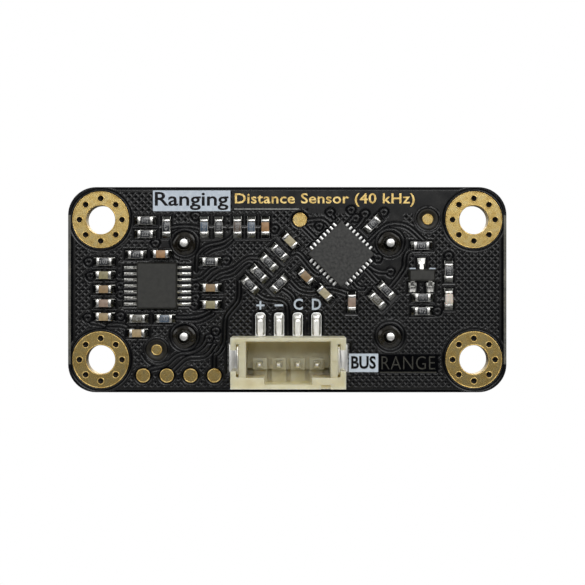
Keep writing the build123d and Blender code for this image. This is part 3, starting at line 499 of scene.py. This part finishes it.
# node: material and the width of the rounding on its edges
FINISH = {
    "circuit_board": (BOARD, 0), "fiducials": (GOLD, 0), "test_pad": (GOLD, 0),
    "program_pads": (GOLD, 0), "mounting_ring": (GOLD, 0), "solder_pads": (PAD_TIN_PAINTED_DARK, 0.016),
    "amplifier_body": (PACKAGE, 0.05), "amplifier_leads": (TIN, 0.03), "lead_solder_joints": (TIN, 0.03),
    "capacitor_bodies": (CERAMICS["tan"], 0.05), "capacitor_end_caps": (TIN, 0.06),
    "resistor_bodies": (CERAMIC, 0.02), "resistor_end_caps": (TIN, 0.05),
    "resistor_overcoats": (COATS["dark"], 0.012), "chip_solder_joints": (FILLET_PAINTED_DARK, 0.06),
    "header_housing": (NYLON, 0.06), "header_pin": (PIN_METAL, 0.05), "header_tab": (PIN_METAL, 0.04),
    "header_solder_joints": (HEADER_SOLDER, 0.06), "led_base": (LAMP_BASE, 0.03), "led_end_caps": (TIN, 0.04),
    "led_lens": (LAMP_LENS, 0.05), "microcontroller_body": (MCU_PACKAGE, 0.025),
    "microcontroller_terminals": (TERMINAL, 0.02), "microcontroller_thermal_pad": (TERMINAL, 0.02),
    "regulator_body": (PACKAGE, 0.05), "regulator_leads": (TIN, 0.03), "transducer_can": (CAN_METAL, 0.03),
    "transducer_screen": (SCREEN_METAL, 0.05), "transducer_cone": (CONE_METAL, 0.03),
    "transducer_vibrating_plate": (CONE_METAL, 0.03), "transducer_piezo_disc": (PIEZO, 0.03),
    "transducer_seat": (SILICONE, 0.08), "transducer_base": (BASE_PLASTIC, 0.06),
    "transducer_upper_pin": (PIN_METAL, 0.06), "transducer_lower_pin": (PIN_METAL, 0.06),
    "transducer_upper_lead_wire": (COPPER_WIRE, 0), "transducer_lower_lead_wire": (COPPER_WIRE, 0),
    "transducer_solder_joints": (SOLDER, 0),
}
# the solids of a node that differ from the rest: where they stand, x and z, and their tone
SAME_PLACE = 0.3
CAPACITOR_TONES = (
    (-13.5, 3.8, "orange"), (-19.6, 1.55, "olive"), (-19.6, 0.05, "brown"), (-19.6, -1.45, "pink"),
    (-19.6, -2.9, "tan"), (-16.05, -4.65, "tan"), (-2.35, 6.7, "orange"), (-8.2, 0.2, "brown"),
    (-8.2, -1.6, "olive"), (0.3, 5.2, "cream"), (2.0, 1.4, "brown"), (4.0, -0.4, "cream"),
    (6.9, -1.35, "pink"),
)
COAT_TONES = (
    (-13.15, -3.1, "bluish"), (-8.9, 6.7, "bluish"), (-3.85, 6.7, "bluish"), (9.6, -1.15, "olive"),
    (-16.05, -3.1, "olive"), (-5.35, 6.7, "red"),
)
# these pads, and those under the microcontroller's terminals, keep the true bright tin; the other pads carry
# the painted shade of the pad tin
HEADER_PAD_TONES = tuple((x, -3.95, "bright") for x in (-2.88, -0.88, 1.12, 3.12))


def smooth_edges(obj, width):
    """Shades a CAD node smoothly, with small roundings along its edges."""
    mesh = obj.data
    if "custom_normal" in mesh.attributes:
        mesh.attributes.remove(mesh.attributes["custom_normal"])
    mesh.polygons.foreach_set("use_smooth", [True] * len(mesh.polygons))
    weld = obj.modifiers.new("weld", "WELD")
    weld.merge_threshold = 0.0005 * MM
    if width:
        bevel = obj.modifiers.new("bevel", "BEVEL")
        bevel.width = width * MM
        bevel.segments = 2
        bevel.limit_method = "ANGLE"
        bevel.angle_limit = math.radians(35)
        bevel.miter_outer = "MITER_ARC"
    else:
        split = obj.modifiers.new("split", "EDGE_SPLIT")
        split.split_angle = math.radians(40)
    normals = obj.modifiers.new("normals", "WEIGHTED_NORMAL")
    normals.keep_sharp = True


def paint_solids(node, tones, materials):
    """Gives the solids of a node that stand at the listed places their own materials."""
    points, index, label = welded(node)
    mesh = NODES[node].data
    slot_of = {}
    for solid in np.unique(label):
        middle = points[label == solid].mean(0)
        for x, z, tone in tones:
            if math.hypot(middle[0] - x, middle[2] - z) < SAME_PLACE:
                slot_of[solid] = tone
    names = sorted(set(slot_of.values()))
    for tone in names:
        mesh.materials.append(materials[tone])
    for polygon in mesh.polygons:
        tone = slot_of.get(label[index[polygon.vertices[0]]])
        polygon.material_index = 1 + names.index(tone) if tone else 0


def finish_nodes():
    """Gives each CAD node its material and its roundings."""
    for name, obj in NODES.items():
        key = max((k for k in FINISH if k in name), key=len)
        material, width = FINISH[key]
        obj.data.materials.clear()
        obj.data.materials.append(material)
        smooth_edges(obj, width)
    paint_solids("capacitor_bodies", CAPACITOR_TONES, CERAMICS)
    paint_solids("resistor_overcoats", COAT_TONES, COATS)
    terminals = [(*points.mean(0)[[0, 2]], "bright") for points in solids_of("microcontroller_terminals")]
    paint_solids("solder_pads", [*HEADER_PAD_TONES, *terminals], {"bright": TERMINAL})


# ---- shared mesh helpers ----
def add_piece(name, mesh, material):
    """Puts a mesh in the scene as a named piece of the one body."""
    obj = bpy.data.objects.new(name, mesh)
    bpy.context.scene.collection.objects.link(obj)
    mesh.materials.append(material)
    if material is MASK and not mesh.attributes.get("over_copper"):
        over = mesh.attributes.new("over_copper", "FLOAT", "POINT")
        over.data.foreach_set("value", np.full(len(mesh.vertices), 0.5, np.float32))
    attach(obj, "root")
    return obj


def solid_mesh(name, verts, faces, smooth=True):
    """A mesh from points in millimetres, given as x, y and z."""
    mesh = bpy.data.meshes.new(name)
    mesh.from_pydata((np.asarray(verts, float) * MM).tolist(), [], faces)
    mesh.polygons.foreach_set("use_smooth", [smooth] * len(mesh.polygons))
    mesh.update()
    return mesh


def step(distance, soft=SOFT):
    """1 where a distance is well below zero and 0 well above, with a smooth slope between."""
    t = np.clip(0.5 - distance / soft, 0, 1)
    return t * t * (3 - 2 * t)


def rounded(points):
    """A run of points with its corners cut twice."""
    p = np.array(points, float)
    for _ in range(2):
        cut = np.stack([0.75 * p[:-1] + 0.25 * p[1:], 0.25 * p[:-1] + 0.75 * p[1:]], 1).reshape(-1, 2)
        p = np.vstack([p[:1], cut, p[-1:]])
    return p


def near(x, z, low, high, reach):
    """The part of a grid that lies within reach of a box, as two slices."""
    xs = np.searchsorted(x[:, 0], (low[0] - reach, high[0] + reach))
    zs = np.searchsorted(z[0], (low[1] - reach, high[1] + reach))
    return slice(*xs), slice(*zs)


def distance_to_runs(x, z, runs, reach=1.2):
    """Distance from each grid point to the nearest run, as far as reach."""
    out = np.full(x.shape, reach)
    for run in runs:
        p = rounded(run)
        for a, b in zip(p[:-1], p[1:]):
            part = near(x, z, np.minimum(a, b), np.maximum(a, b), reach)
            gx, gz, d = x[part] - a[0], z[part] - a[1], b - a
            t = np.clip((gx * d[0] + gz * d[1]) / (d @ d), 0, 1)
            out[part] = np.minimum(out[part], np.hypot(gx - t * d[0], gz - t * d[1]))
    return out


def distance_to_hulls(x, z, hulls, reach=1.2):
    """Signed distance from each grid point to the nearest convex outline."""
    out = np.full(x.shape, reach)
    for outline in hulls:
        part = near(x, z, outline.min(0), outline.max(0), reach)
        inside = np.full(x[part].shape, -1e9)
        for a, b in zip(outline, np.roll(outline, -1, 0)):
            d = (b - a) / np.linalg.norm(b - a)
            inside = np.maximum(inside, (x[part] - a[0]) * d[1] - (z[part] - a[1]) * d[0])
        out[part] = np.minimum(out[part], inside)
    return out


def distance_to_discs(x, z, discs):
    """Signed distance from each grid point to the nearest disc."""
    out = np.full(x.shape, 1e3)
    for cx, cz, r in discs:
        out = np.minimum(out, np.hypot(x - cx, z - cz) - r)
    return out


def in_areas(x, z, areas):
    """1 inside the areas and 0 outside them, with a smooth slope between."""
    out = np.full(x.shape, 1e3)
    for x0, x1, z0, z1 in areas:
        out = np.minimum(out, np.maximum(np.maximum(x0 - x, x - x1), np.maximum(z0 - z, z - z1)))
    return step(out)


def hatch(x, z, pitch=HATCH_PITCH, line=HATCH_LINE, soft=SOFT):
    """Lines both ways across the board at 45 degrees."""
    lines = []
    for along in ((x + z) / math.sqrt(2), (x - z) / math.sqrt(2)):
        off = np.abs((along / pitch) % 1 - 0.5) * pitch
        lines.append(step(off - line / 2, soft))
    return np.maximum(*lines)


def edge_distance(x, z):
    """Signed distance to the mask's outline, and the direction out of it."""
    half_x, half_z, r = BOARD_HIGH.x - EDGE_STRIP, BOARD_HIGH.z - EDGE_GAP, BOARD_CORNER - EDGE_GAP
    qx, qz = np.abs(x) - half_x + r, np.abs(z) - half_z + r
    outside = np.hypot(np.maximum(qx, 0), np.maximum(qz, 0))
    distance = outside + np.minimum(np.maximum(qx, qz), 0) - r
    corner = (qx > 0) & (qz > 0)
    nx = np.where(corner, qx / np.maximum(outside, 1e-9), (qx > qz) * 1.0) * np.sign(x)
    nz = np.where(corner, qz / np.maximum(outside, 1e-9), (qx <= qz) * 1.0) * np.sign(z)
    return distance, nx, nz


def front_copper(x, z):
    """How far each point of the component side is over copper, and how deep it dips."""
    trace = distance_to_runs(x, z, TRACES) - TRACE_WIDTH / 2
    pads = distance_to_hulls(x, z, PAD_HULLS)
    round_pads = distance_to_discs(x, z, [*PROGRAM_PADS, TEST_PAD])
    via = distance_to_discs(x, z, [(*v, 0.0) for v in VIAS])
    ring = distance_to_discs(x, z, RINGS)
    target = distance_to_discs(x, z, [(cx, cz, 0.0) for cx, cz, _ in FIDUCIALS])
    joint = distance_to_discs(x, z, [(cx, cz, 0.0) for cx, cz, _ in PIN_JOINTS])
    apart = np.minimum.reduce([
        trace, pads, round_pads, via - VIA_PAD, ring - RING_LIP, target - WINDOW_CLEAR, joint - JOINT_CLEAR,
    ])
    pour = step(CLEARANCE - apart)
    border = pour * step(apart - CLEARANCE - POUR_BORDER)
    edge = -edge_distance(x, z)[0]
    border = np.maximum(border, pour * step(edge - EDGE_BORDER[1]) * step(EDGE_BORDER[0] - edge))
    field = np.maximum(hatch(x, z), in_areas(x, z, SOLID_AREAS)) * pour * step(POUR_EDGE - edge)
    field = field * (1 - in_areas(x, z, BARE_AREAS))
    around_pads = step(pads - PAD_LIP) * step(MASK_OPENING + 0.03 - pads) * 0.5
    lips = np.maximum.reduce([
        step(trace), step(np.abs(via - VIA_RING) - VIA_RING_WIDTH / 2), step(ring - RING_LIP),
        step(np.abs(target - WINDOW_LINE) - 0.09), step(np.abs(joint - JOINT_LINE) - 0.08), around_pads,
    ])
    copper = np.maximum.reduce([border, field, lips])
    dip = np.maximum.reduce([step(pads - MASK_OPENING), step(round_pads - MASK_OPENING), step(via - VIA_HOLE),
                             step(target - WINDOW_EDGE), step(ring - 0.05)])
    return copper * (1 - dip), dip


def rear_copper(x, z):
    """The same for the side with the transducers."""
    trace = distance_to_runs(x, z, REAR_TRACES) - REAR_TRACE_WIDTH / 2
    via = distance_to_discs(x, z, [(*v, 0.0) for v in REAR_VIAS])
    ring = distance_to_discs(x, z, RINGS)
    apart = np.minimum.reduce([trace, via - VIA_PAD, ring - RING_LIP])
    pour = step(REAR_CLEARANCE - apart, REAR_SOFT)
    border = pour * step(apart - REAR_CLEARANCE - REAR_BORDER, REAR_SOFT)
    field = pour * hatch(x, z, REAR_HATCH_PITCH, REAR_HATCH_LINE, REAR_SOFT)
    around_vias = step(np.abs(via - VIA_RING) - VIA_RING_WIDTH / 2, REAR_VIA_SOFT)
    copper = np.maximum.reduce([border, field, step(trace, REAR_SOFT), around_vias, step(ring - RING_LIP)])
    dip = np.maximum(step(via - VIA_HOLE), step(ring - 0.05))
    return copper * (1 - dip), dip


def relief(name, spacing, copper_at, face, out, openings, tiles):
    """Skins one face of the board with mask. The skin's rim turns down into the board."""
    half_x, half_z = (math.ceil(c / spacing) for c in (BOARD_HIGH.x, BOARD_HIGH.z))
    columns, rows = 2 * half_x + 1, 2 * half_z + 1
    x, z = np.meshgrid(spacing * np.arange(-half_x, half_x + 1), spacing * np.arange(-half_z, half_z + 1),
                       indexing="ij")

    def height_at(x, z):
        copper, dip = copper_at(x, z)
        return (MASK_LOW + MASK_RISE * copper) * (1 - 0.6 * dip), copper

    height, copper = height_at(x, z)
    gx, gz = ((height_at(x + dx, z + dz)[0] - height_at(x - dx, z - dz)[0]) / (2 * PROBE)
              for dx, dz in ((PROBE, 0), (0, PROBE)))
    normal = np.stack([-gx * SHADED_SLOPE, np.full(x.shape, out), -gz * SHADED_SLOPE], -1)
    normal /= np.linalg.norm(normal, axis=-1, keepdims=True)
    beyond, nx, nz = edge_distance(x, z)
    rim = beyond >= 0
    keep = ~rim
    snapped_x, snapped_z = x - np.maximum(beyond, 0) * nx, z - np.maximum(beyond, 0) * nz
    for cx, cz, r in openings:
        far = np.hypot(x - cx, z - cz)
        hole = far <= r
        grow = np.where(hole, r / np.maximum(far, 1e-6), 1)
        snapped_x = np.where(hole, cx + (x - cx) * grow, snapped_x)
        snapped_z = np.where(hole, cz + (z - cz) * grow, snapped_z)
        rim, keep = rim | hole, keep & ~hole
    height = np.where(rim, -0.005, height)
    verts = np.stack([snapped_x, face + out * height, snapped_z], -1)
    used = keep[:-1, :-1] | keep[1:, :-1] | keep[1:, 1:] | keep[:-1, 1:]
    number = np.arange(columns * rows).reshape(columns, rows)
    quads = np.stack([number[:-1, :-1], number[1:, :-1], number[1:, 1:], number[:-1, 1:]], -1)
    if out > 0:
        quads = quads[..., ::-1]
    for tile in range(tiles):
        first, last = ((columns - 1) * t // tiles for t in (tile, tile + 1))
        chosen = quads[first:last][used[first:last]]
        kept, faces = np.unique(chosen, return_inverse=True)
        mesh = solid_mesh(f"{name}_{tile + 1}", verts.reshape(-1, 3)[kept], faces.reshape(-1, 4).tolist())
        mesh.normals_split_custom_set_from_vertices(normal.reshape(-1, 3)[kept].tolist())
        over = mesh.attributes.new("over_copper", "FLOAT", "POINT")
        over.data.foreach_set("value", copper.reshape(-1)[kept].astype(np.float32))
        add_piece(f"{name}_{tile + 1}", mesh, MASK)


# ---- printing ----
def letters(body, bold=0.0, spacing=1.0):
    """The points and faces of a word, 1 unit thick, lying in the x, z plane and facing -y."""
    curve = bpy.data.curves.new("word", "FONT")
    curve.body = body
    curve.extrude = 0.5
    curve.offset = bold
    curve.space_character = spacing
    curve.resolution_u = 3
    obj = bpy.data.objects.new("word", curve)
    bpy.context.scene.collection.objects.link(obj)
    mesh = bpy.data.meshes.new_from_object(obj.evaluated_get(bpy.context.evaluated_depsgraph_get()))
    verts = np.array([v.co for v in mesh.vertices])
    faces = [list(p.vertices) for p in mesh.polygons]
    bpy.data.objects.remove(obj)
    bpy.data.curves.remove(curve)
    bpy.data.meshes.remove(mesh)
    return np.stack([verts[:, 0], 0.5 - verts[:, 2], verts[:, 1]], -1), faces


def printed(name, body, area, low, high, material, slot, bold=0.0, spacing=1.0, rear=False):
    """A word that fills an area, x from, x to, z from, z to, between two heights."""
    verts, faces = letters(body, bold, spacing)
    base, span = verts.min(0), np.ptp(verts, axis=0)
    u = (verts - base) / span
    x0, x1, z0, z1 = area
    y = low + (high - low) * (1 - u[:, 1])
    if rear:
        y = BOARD_HIGH.y + y
        x0, x1 = x1, x0
    else:
        y = -y
    placed = np.stack([x0 + (x1 - x0) * u[:, 0], y, z0 + (z1 - z0) * u[:, 2]], -1)
    return add_piece(name, solid_mesh(name, placed, faces, False), material)


def plate(name, area, low, high, material, slot, corner):
    """A flat printed patch with rounded corners."""
    x0, x1, z0, z1 = area
    outline = []
    for cx, cz, start in ((x1 - corner, z1 - corner, 0), (x0 + corner, z1 - corner, 90),
                          (x0 + corner, z0 + corner, 180), (x1 - corner, z0 + corner, 270)):
        for k in range(7):
            a = math.radians(start + 15 * k)
            outline.append((cx + corner * math.cos(a), cz + corner * math.sin(a)))
    n = len(outline)
    verts = [(x, -y, z) for y in (low, high) for x, z in outline]
    faces = [list(range(n, 2 * n)), list(range(n))[::-1]]
    faces += [[i, (i + 1) % n, n + (i + 1) % n, n + i] for i in range(n)]
    return add_piece(name, solid_mesh(name, verts, faces, False), material)


def turned(profile, centre, steps=48, wobble=0.0, seed=1):
    """Points and faces of a closed ring: a profile of (radius, height) turned about a line along y."""
    rng = np.random.default_rng(seed)
    waves = rng.uniform(-1, 1, (4, 2))
    profile = np.array(profile)
    count = len(profile)
    verts, faces = [], []
    for i in range(steps):
        a = 2 * math.pi * i / steps
        shift = 1 + wobble * sum(w[0] * math.sin((k + 2) * a + 3 * w[1]) for k, w in enumerate(waves))
        for r, h in profile:
            verts.append((centre[0] + r * shift * math.cos(a), -h, centre[1] + r * shift * math.sin(a)))
        for j in range(count):
            k = (j + 1) % count
            following = (i + 1) % steps
            faces.append([i * count + j, i * count + k, following * count + k, following * count + j])
    return verts, faces


def joined(name, parts, material):
    """One piece made of several sets of points and faces."""
    verts, faces = [], []
    for part_verts, part_faces in parts:
        faces += [[i + len(verts) for i in f] for f in part_faces]
        verts += list(part_verts)
    return add_piece(name, solid_mesh(name, verts, faces), material)


def stitching_vias():
    """The places of the eight small vias in each gold ring."""
    turns = [k * math.pi / 4 for k in range(8)]
    return [(cx + STITCH_CIRCLE * math.cos(a), cz + STITCH_CIRCLE * math.sin(a)) for cx, cz, _ in RINGS
            for a in turns]


def hole_plugs():
    """Dark resin in the stitching vias, dished at both ends."""
    depth = BOARD_HIGH.y - BOARD_LOW.y
    dish = [(0.004, 0.34), (0.12, 0.32), (0.22, 0.27), (0.292, 0.18)]  # radius, and depth below the face
    profile = [(r, -d) for r, d in dish] + [(r, d - depth) for r, d in dish[::-1]]
    joined("via_resin", [turned(profile, place, 20) for place in stitching_vias()], RESIN)


def gold_rims():
    """The raised edges of the bare gold: round each ring, its hole and its vias, and round each pad."""
    face = -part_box("test_pad")[0].y / MM
    circles = [(x, z, r - RIM_WIDTH / 2) for x, z, r in [*RINGS, *PROGRAM_PADS, TEST_PAD, *FIDUCIALS]]
    circles += [(x, z, HOLE_RIM) for x, z, _ in RINGS]
    circles += [(x, z, STITCH_RIM) for x, z in stitching_vias()]
    parts = []
    for x, z, r in circles:
        profile = [(r + RIM_WIDTH * across, face + RIM_HEIGHT * up) for across, up in RIM_SHAPE]
        parts.append(turned(profile, (x, z), 28 if r < 1 else 96))
    joined("gold_rims", parts, GOLD_EDGES)


def fiducial_windows():
    """Bare laminate in the clear circle round each fiducial."""
    profile = [(0.4, 0.01), (0.4, 0.028), (1.08, 0.028), (1.12, 0.022), (1.12, 0.01)]
    joined("fiducial_windows", [turned(profile, (x, z), 72) for x, z, _ in FIDUCIALS], WINDOW)


def flux_rings_with_painted_shade():
    """The skirt of flux left round each hand-soldered pin, drawn up over the lower flanks of the solder as a
    near-black sheet: partly real flux, partly painted shade for the dark surroundings those flanks would
    reflect.
    """
    parts = []
    for number, (cx, cz, r) in enumerate(PIN_JOINTS):
        profile = [(r - 0.2, 0.02), (r - 0.36, 0.3), (r - 0.34, 0.44), (r - 0.3, 0.46), (r - 0.25, 0.4),
                   (r - 0.18, 0.3), (r - 0.08, 0.2), (r + 0.02, 0.13), (r + 0.12, 0.08), (r + 0.2, 0.05),
                   (r + 0.24, 0.02)]
        parts.append(turned(profile, (cx - 0.04, cz - 0.06), 64, 0.025, number + 3))
    joined("flux_with_painted_shade", parts, FLUX_WITH_PAINTED_SHADE)


def resistor_codes():
    """Three small digits on each resistor."""
    words = [letters(code, 0.01) for code in ("103", "472", "101", "222", "512")]
    parts = []
    for number, points in enumerate(solids_of("resistor_overcoats")):
        outline = hull(points[:, [0, 2]])
        sides = np.roll(outline, -1, 0) - outline
        lengths = np.linalg.norm(sides, axis=1)
        along = sides[lengths.argmax()] / lengths.max()
        along = along if along[0] > 1e-3 or (abs(along[0]) <= 1e-3 and along[1] > 0) else -along
        across = np.array([-along[1], along[0]])
        middle = outline.mean(0)
        verts, faces = words[number % len(words)]
        u = (verts - verts.min(0)) / np.ptp(verts, axis=0) - 0.5
        flat = middle + np.outer(u[:, 0] * 0.74, along) + np.outer(u[:, 2] * 0.42, across)
        top = points[:, 1].min()
        parts.append((np.stack([flat[:, 0], top - 0.002 + 0.004 * u[:, 1], flat[:, 1]], -1), faces))
    joined("resistor_codes", parts, CODE_INK)


def printing():
    base, top = PRINT_BASE, PRINT_TOP
    plate("title_panel", (-14.4, -6.1, 8.42, 10.64), base, top, INK, "printing", 0.06)
    printed("title_panel_word", "Ranging", (-14.2, -6.3, 8.52, 10.48), top, WORD_TOP, MASK, "solder_mask",
            0.016)
    printed("title", "Distance Sensor (40 kHz)", (-5.62, 13.66, 8.9, 10.35), base - 0.004, top, GOLD_LETTERS,
            "gold", 0.014, 1.05)
    plate("title_rule", (-5.7, 1.25, 8.57, 8.72), base, top, DULL_INK, "printing", 0.05)
    plate("pin_mark_plus", (-3.33, -2.43, -1.78, -1.58), base, top, INK, "printing", 0.05)
    plate("pin_mark_plus_upright", (-2.98, -2.78, -2.13, -1.23), base, top + 0.001, INK, "printing", 0.05)
    plate("pin_mark_minus", (-1.35, -0.45, -1.78, -1.58), base, top, INK, "printing", 0.05)
    printed("pin_mark_c", "C", (0.67, 1.67, -2.16, -0.96), base, top, INK, "printing", 0.02)
    printed("pin_mark_d", "D", (2.64, 3.62, -2.16, -0.96), base, top, INK, "printing", 0.02)
    plate("bus_panel", (6.6, 9.75, -8.83, -6.85), base, top, INK, "printing", 0.06)
    printed("bus_panel_word", "BUS", (6.85, 9.5, -8.5, -7.1), top, WORD_TOP, MASK, "solder_mask", 0.03)
    printed("range_word", "RANGE", (10.1, 15.85, -8.55, -7.13), *RAISED_WORD, RAISED_MASK, "solder_mask",
            -0.01, 1.06)
    plate("range_rule", (9.9, 16.0, -8.92, -8.8), *RAISED_WORD, RAISED_MASK, "solder_mask", 0.04)
    for side, x in (("left", 13.44), ("right", 15.55)):
        plate(f"lead_mark_{side}", (x - 0.33, x + 0.33, 2.18, 2.34), base, top, INK, "printing", 0.07)
    printed("rear_mark_t", "T", (-2.6, -1.5, 6.8, 8.2), base, top, INK, "printing", 0.02, rear=True)
    printed("rear_mark_r", "R", (1.5, 2.6, -8.4, -7.0), base, top, INK, "printing", 0.02, rear=True)


# ---- the stage, in metres ----
# the soft light all round: from height, to height, strength below, strength above
SKY_ABOVE = (-0.08, 0.14, 0.05, 0.6)
# and how it fades towards the sides
SKY_ASIDE = (0.2, 0.8, 1.0, 0.08)
# name, place, size and power of each light. All of them point at the middle of the board.
LIGHTS = (
    ("upper_right", (0.2, -0.28, 0.2), (0.24, 0.24), 0.62),
    ("upper_left", (-0.3, -0.24, 0.17), (0.2, 0.2), 0.3),
    ("front_fill", (0.0, -0.5, 0.16), (0.26, 0.08), 0.5),
    ("rear_fill", (0.05, 0.4, 0.25), (0.4, 0.3), 1.2),
)
FLOOR_HALF, FLOOR_FRONT, FLOOR_BACK, FLOOR_HEIGHT = 0.2, -0.085, 0.06, -0.046
CAMERA_PLACE = (0.00056, -0.142, -0.0003)  # square on to the component side
CAMERA_LENS = 81.5  # mm, on a film 36 mm wide


def soft_light(name, location, size, power):
    light = bpy.data.lights.new(name, "AREA")
    light.shape = "RECTANGLE"
    light.size, light.size_y = size
    light.energy = power
    obj = bpy.data.objects.new(name, light)
    obj.location = location
    obj.rotation_mode = "QUATERNION"
    obj.rotation_quaternion = (-Vector(location)).to_track_quat("-Z", "Y")
    bpy.context.scene.collection.objects.link(obj)


def sky():
    """Plain white to the camera, and a soft light from above to everything else."""
    world = bpy.data.worlds.new("studio")
    bpy.context.scene.world = world
    world.use_nodes = True
    nodes, links = world.node_tree.nodes, world.node_tree.links
    backdrop = nodes["Background"]
    backdrop.inputs["Color"].default_value = (1, 1, 1, 1)
    backdrop.inputs["Strength"].default_value = 1.0
    ambient = nodes.new("ShaderNodeBackground")
    ambient.inputs["Color"].default_value = (0.97, 0.98, 1.0, 1)
    around = nodes.new("ShaderNodeTexCoord")
    split = nodes.new("ShaderNodeSeparateXYZ")
    links.new(around.outputs["Generated"], split.inputs[0])
    above = nodes.new("ShaderNodeMapRange")
    above.interpolation_type = "SMOOTHSTEP"
    aside = nodes.new("ShaderNodeMapRange")
    for node, limits in ((above, SKY_ABOVE), (aside, SKY_ASIDE)):
        for name, value in zip(("From Min", "From Max", "To Min", "To Max"), limits):
            node.inputs[name].default_value = value
    links.new(split.outputs["Z"], above.inputs["Value"])
    links.new(maths(nodes, links, "ABSOLUTE", split.outputs["X"]), aside.inputs["Value"])
    strength = maths(nodes, links, "MULTIPLY", above.outputs[0], aside.outputs[0])
    links.new(strength, ambient.inputs["Strength"])
    path = nodes.new("ShaderNodeLightPath")
    either = nodes.new("ShaderNodeMixShader")
    links.new(path.outputs["Is Camera Ray"], either.inputs[0])
    links.new(ambient.outputs[0], either.inputs[1])
    links.new(backdrop.outputs[0], either.inputs[2])
    links.new(either.outputs[0], nodes["World Output"].inputs["Surface"])


def pale_floor():
    mesh = bpy.data.meshes.new("floor")
    corners = ((-FLOOR_HALF, FLOOR_FRONT), (FLOOR_HALF, FLOOR_FRONT), (FLOOR_HALF, FLOOR_BACK),
               (-FLOOR_HALF, FLOOR_BACK))
    mesh.from_pydata([(x, y, FLOOR_HEIGHT) for x, y in corners], [], [[0, 1, 2, 3]])
    paint = surface("pale_floor", ((0.8, 0.8, 0.8), (0.86, 0.86, 0.86)), (0.6, 0.8), 60, 4, 0.1)
    mesh.materials.append(paint)
    floor = bpy.data.objects.new("floor", mesh)
    bpy.context.scene.collection.objects.link(floor)


def camera():
    lens = bpy.data.cameras.new("camera")
    lens.sensor_width = 36
    lens.lens = CAMERA_LENS
    lens.clip_start, lens.clip_end = 0.005, 10
    obj = bpy.data.objects.new("camera", lens)
    obj.location = CAMERA_PLACE
    obj.rotation_euler = (math.radians(90), 0, 0)
    bpy.context.scene.collection.objects.link(obj)
    bpy.context.scene.camera = obj


def stage():
    bpy.context.scene.view_settings.view_transform = "Standard"
    sky()
    pale_floor()
    for name, location, size, power in LIGHTS:
        soft_light(name, location, size, power)
    camera()


finish_nodes()
bolt_openings = [(x, z, RING_OPENING) for x, z, _ in RINGS]
pin_openings = [(x, z, JOINT_OPENING) for x, z, _ in PIN_JOINTS]
relief("mask_front", GRID, front_copper, BOARD_LOW.y, -1, bolt_openings + pin_openings, 2)
relief("mask_rear", REAR_GRID, rear_copper, BOARD_HIGH.y, 1, bolt_openings, 1)
hole_plugs()
gold_rims()
fiducial_windows()
flux_rings_with_painted_shade()
resistor_codes()
printing()
stage()
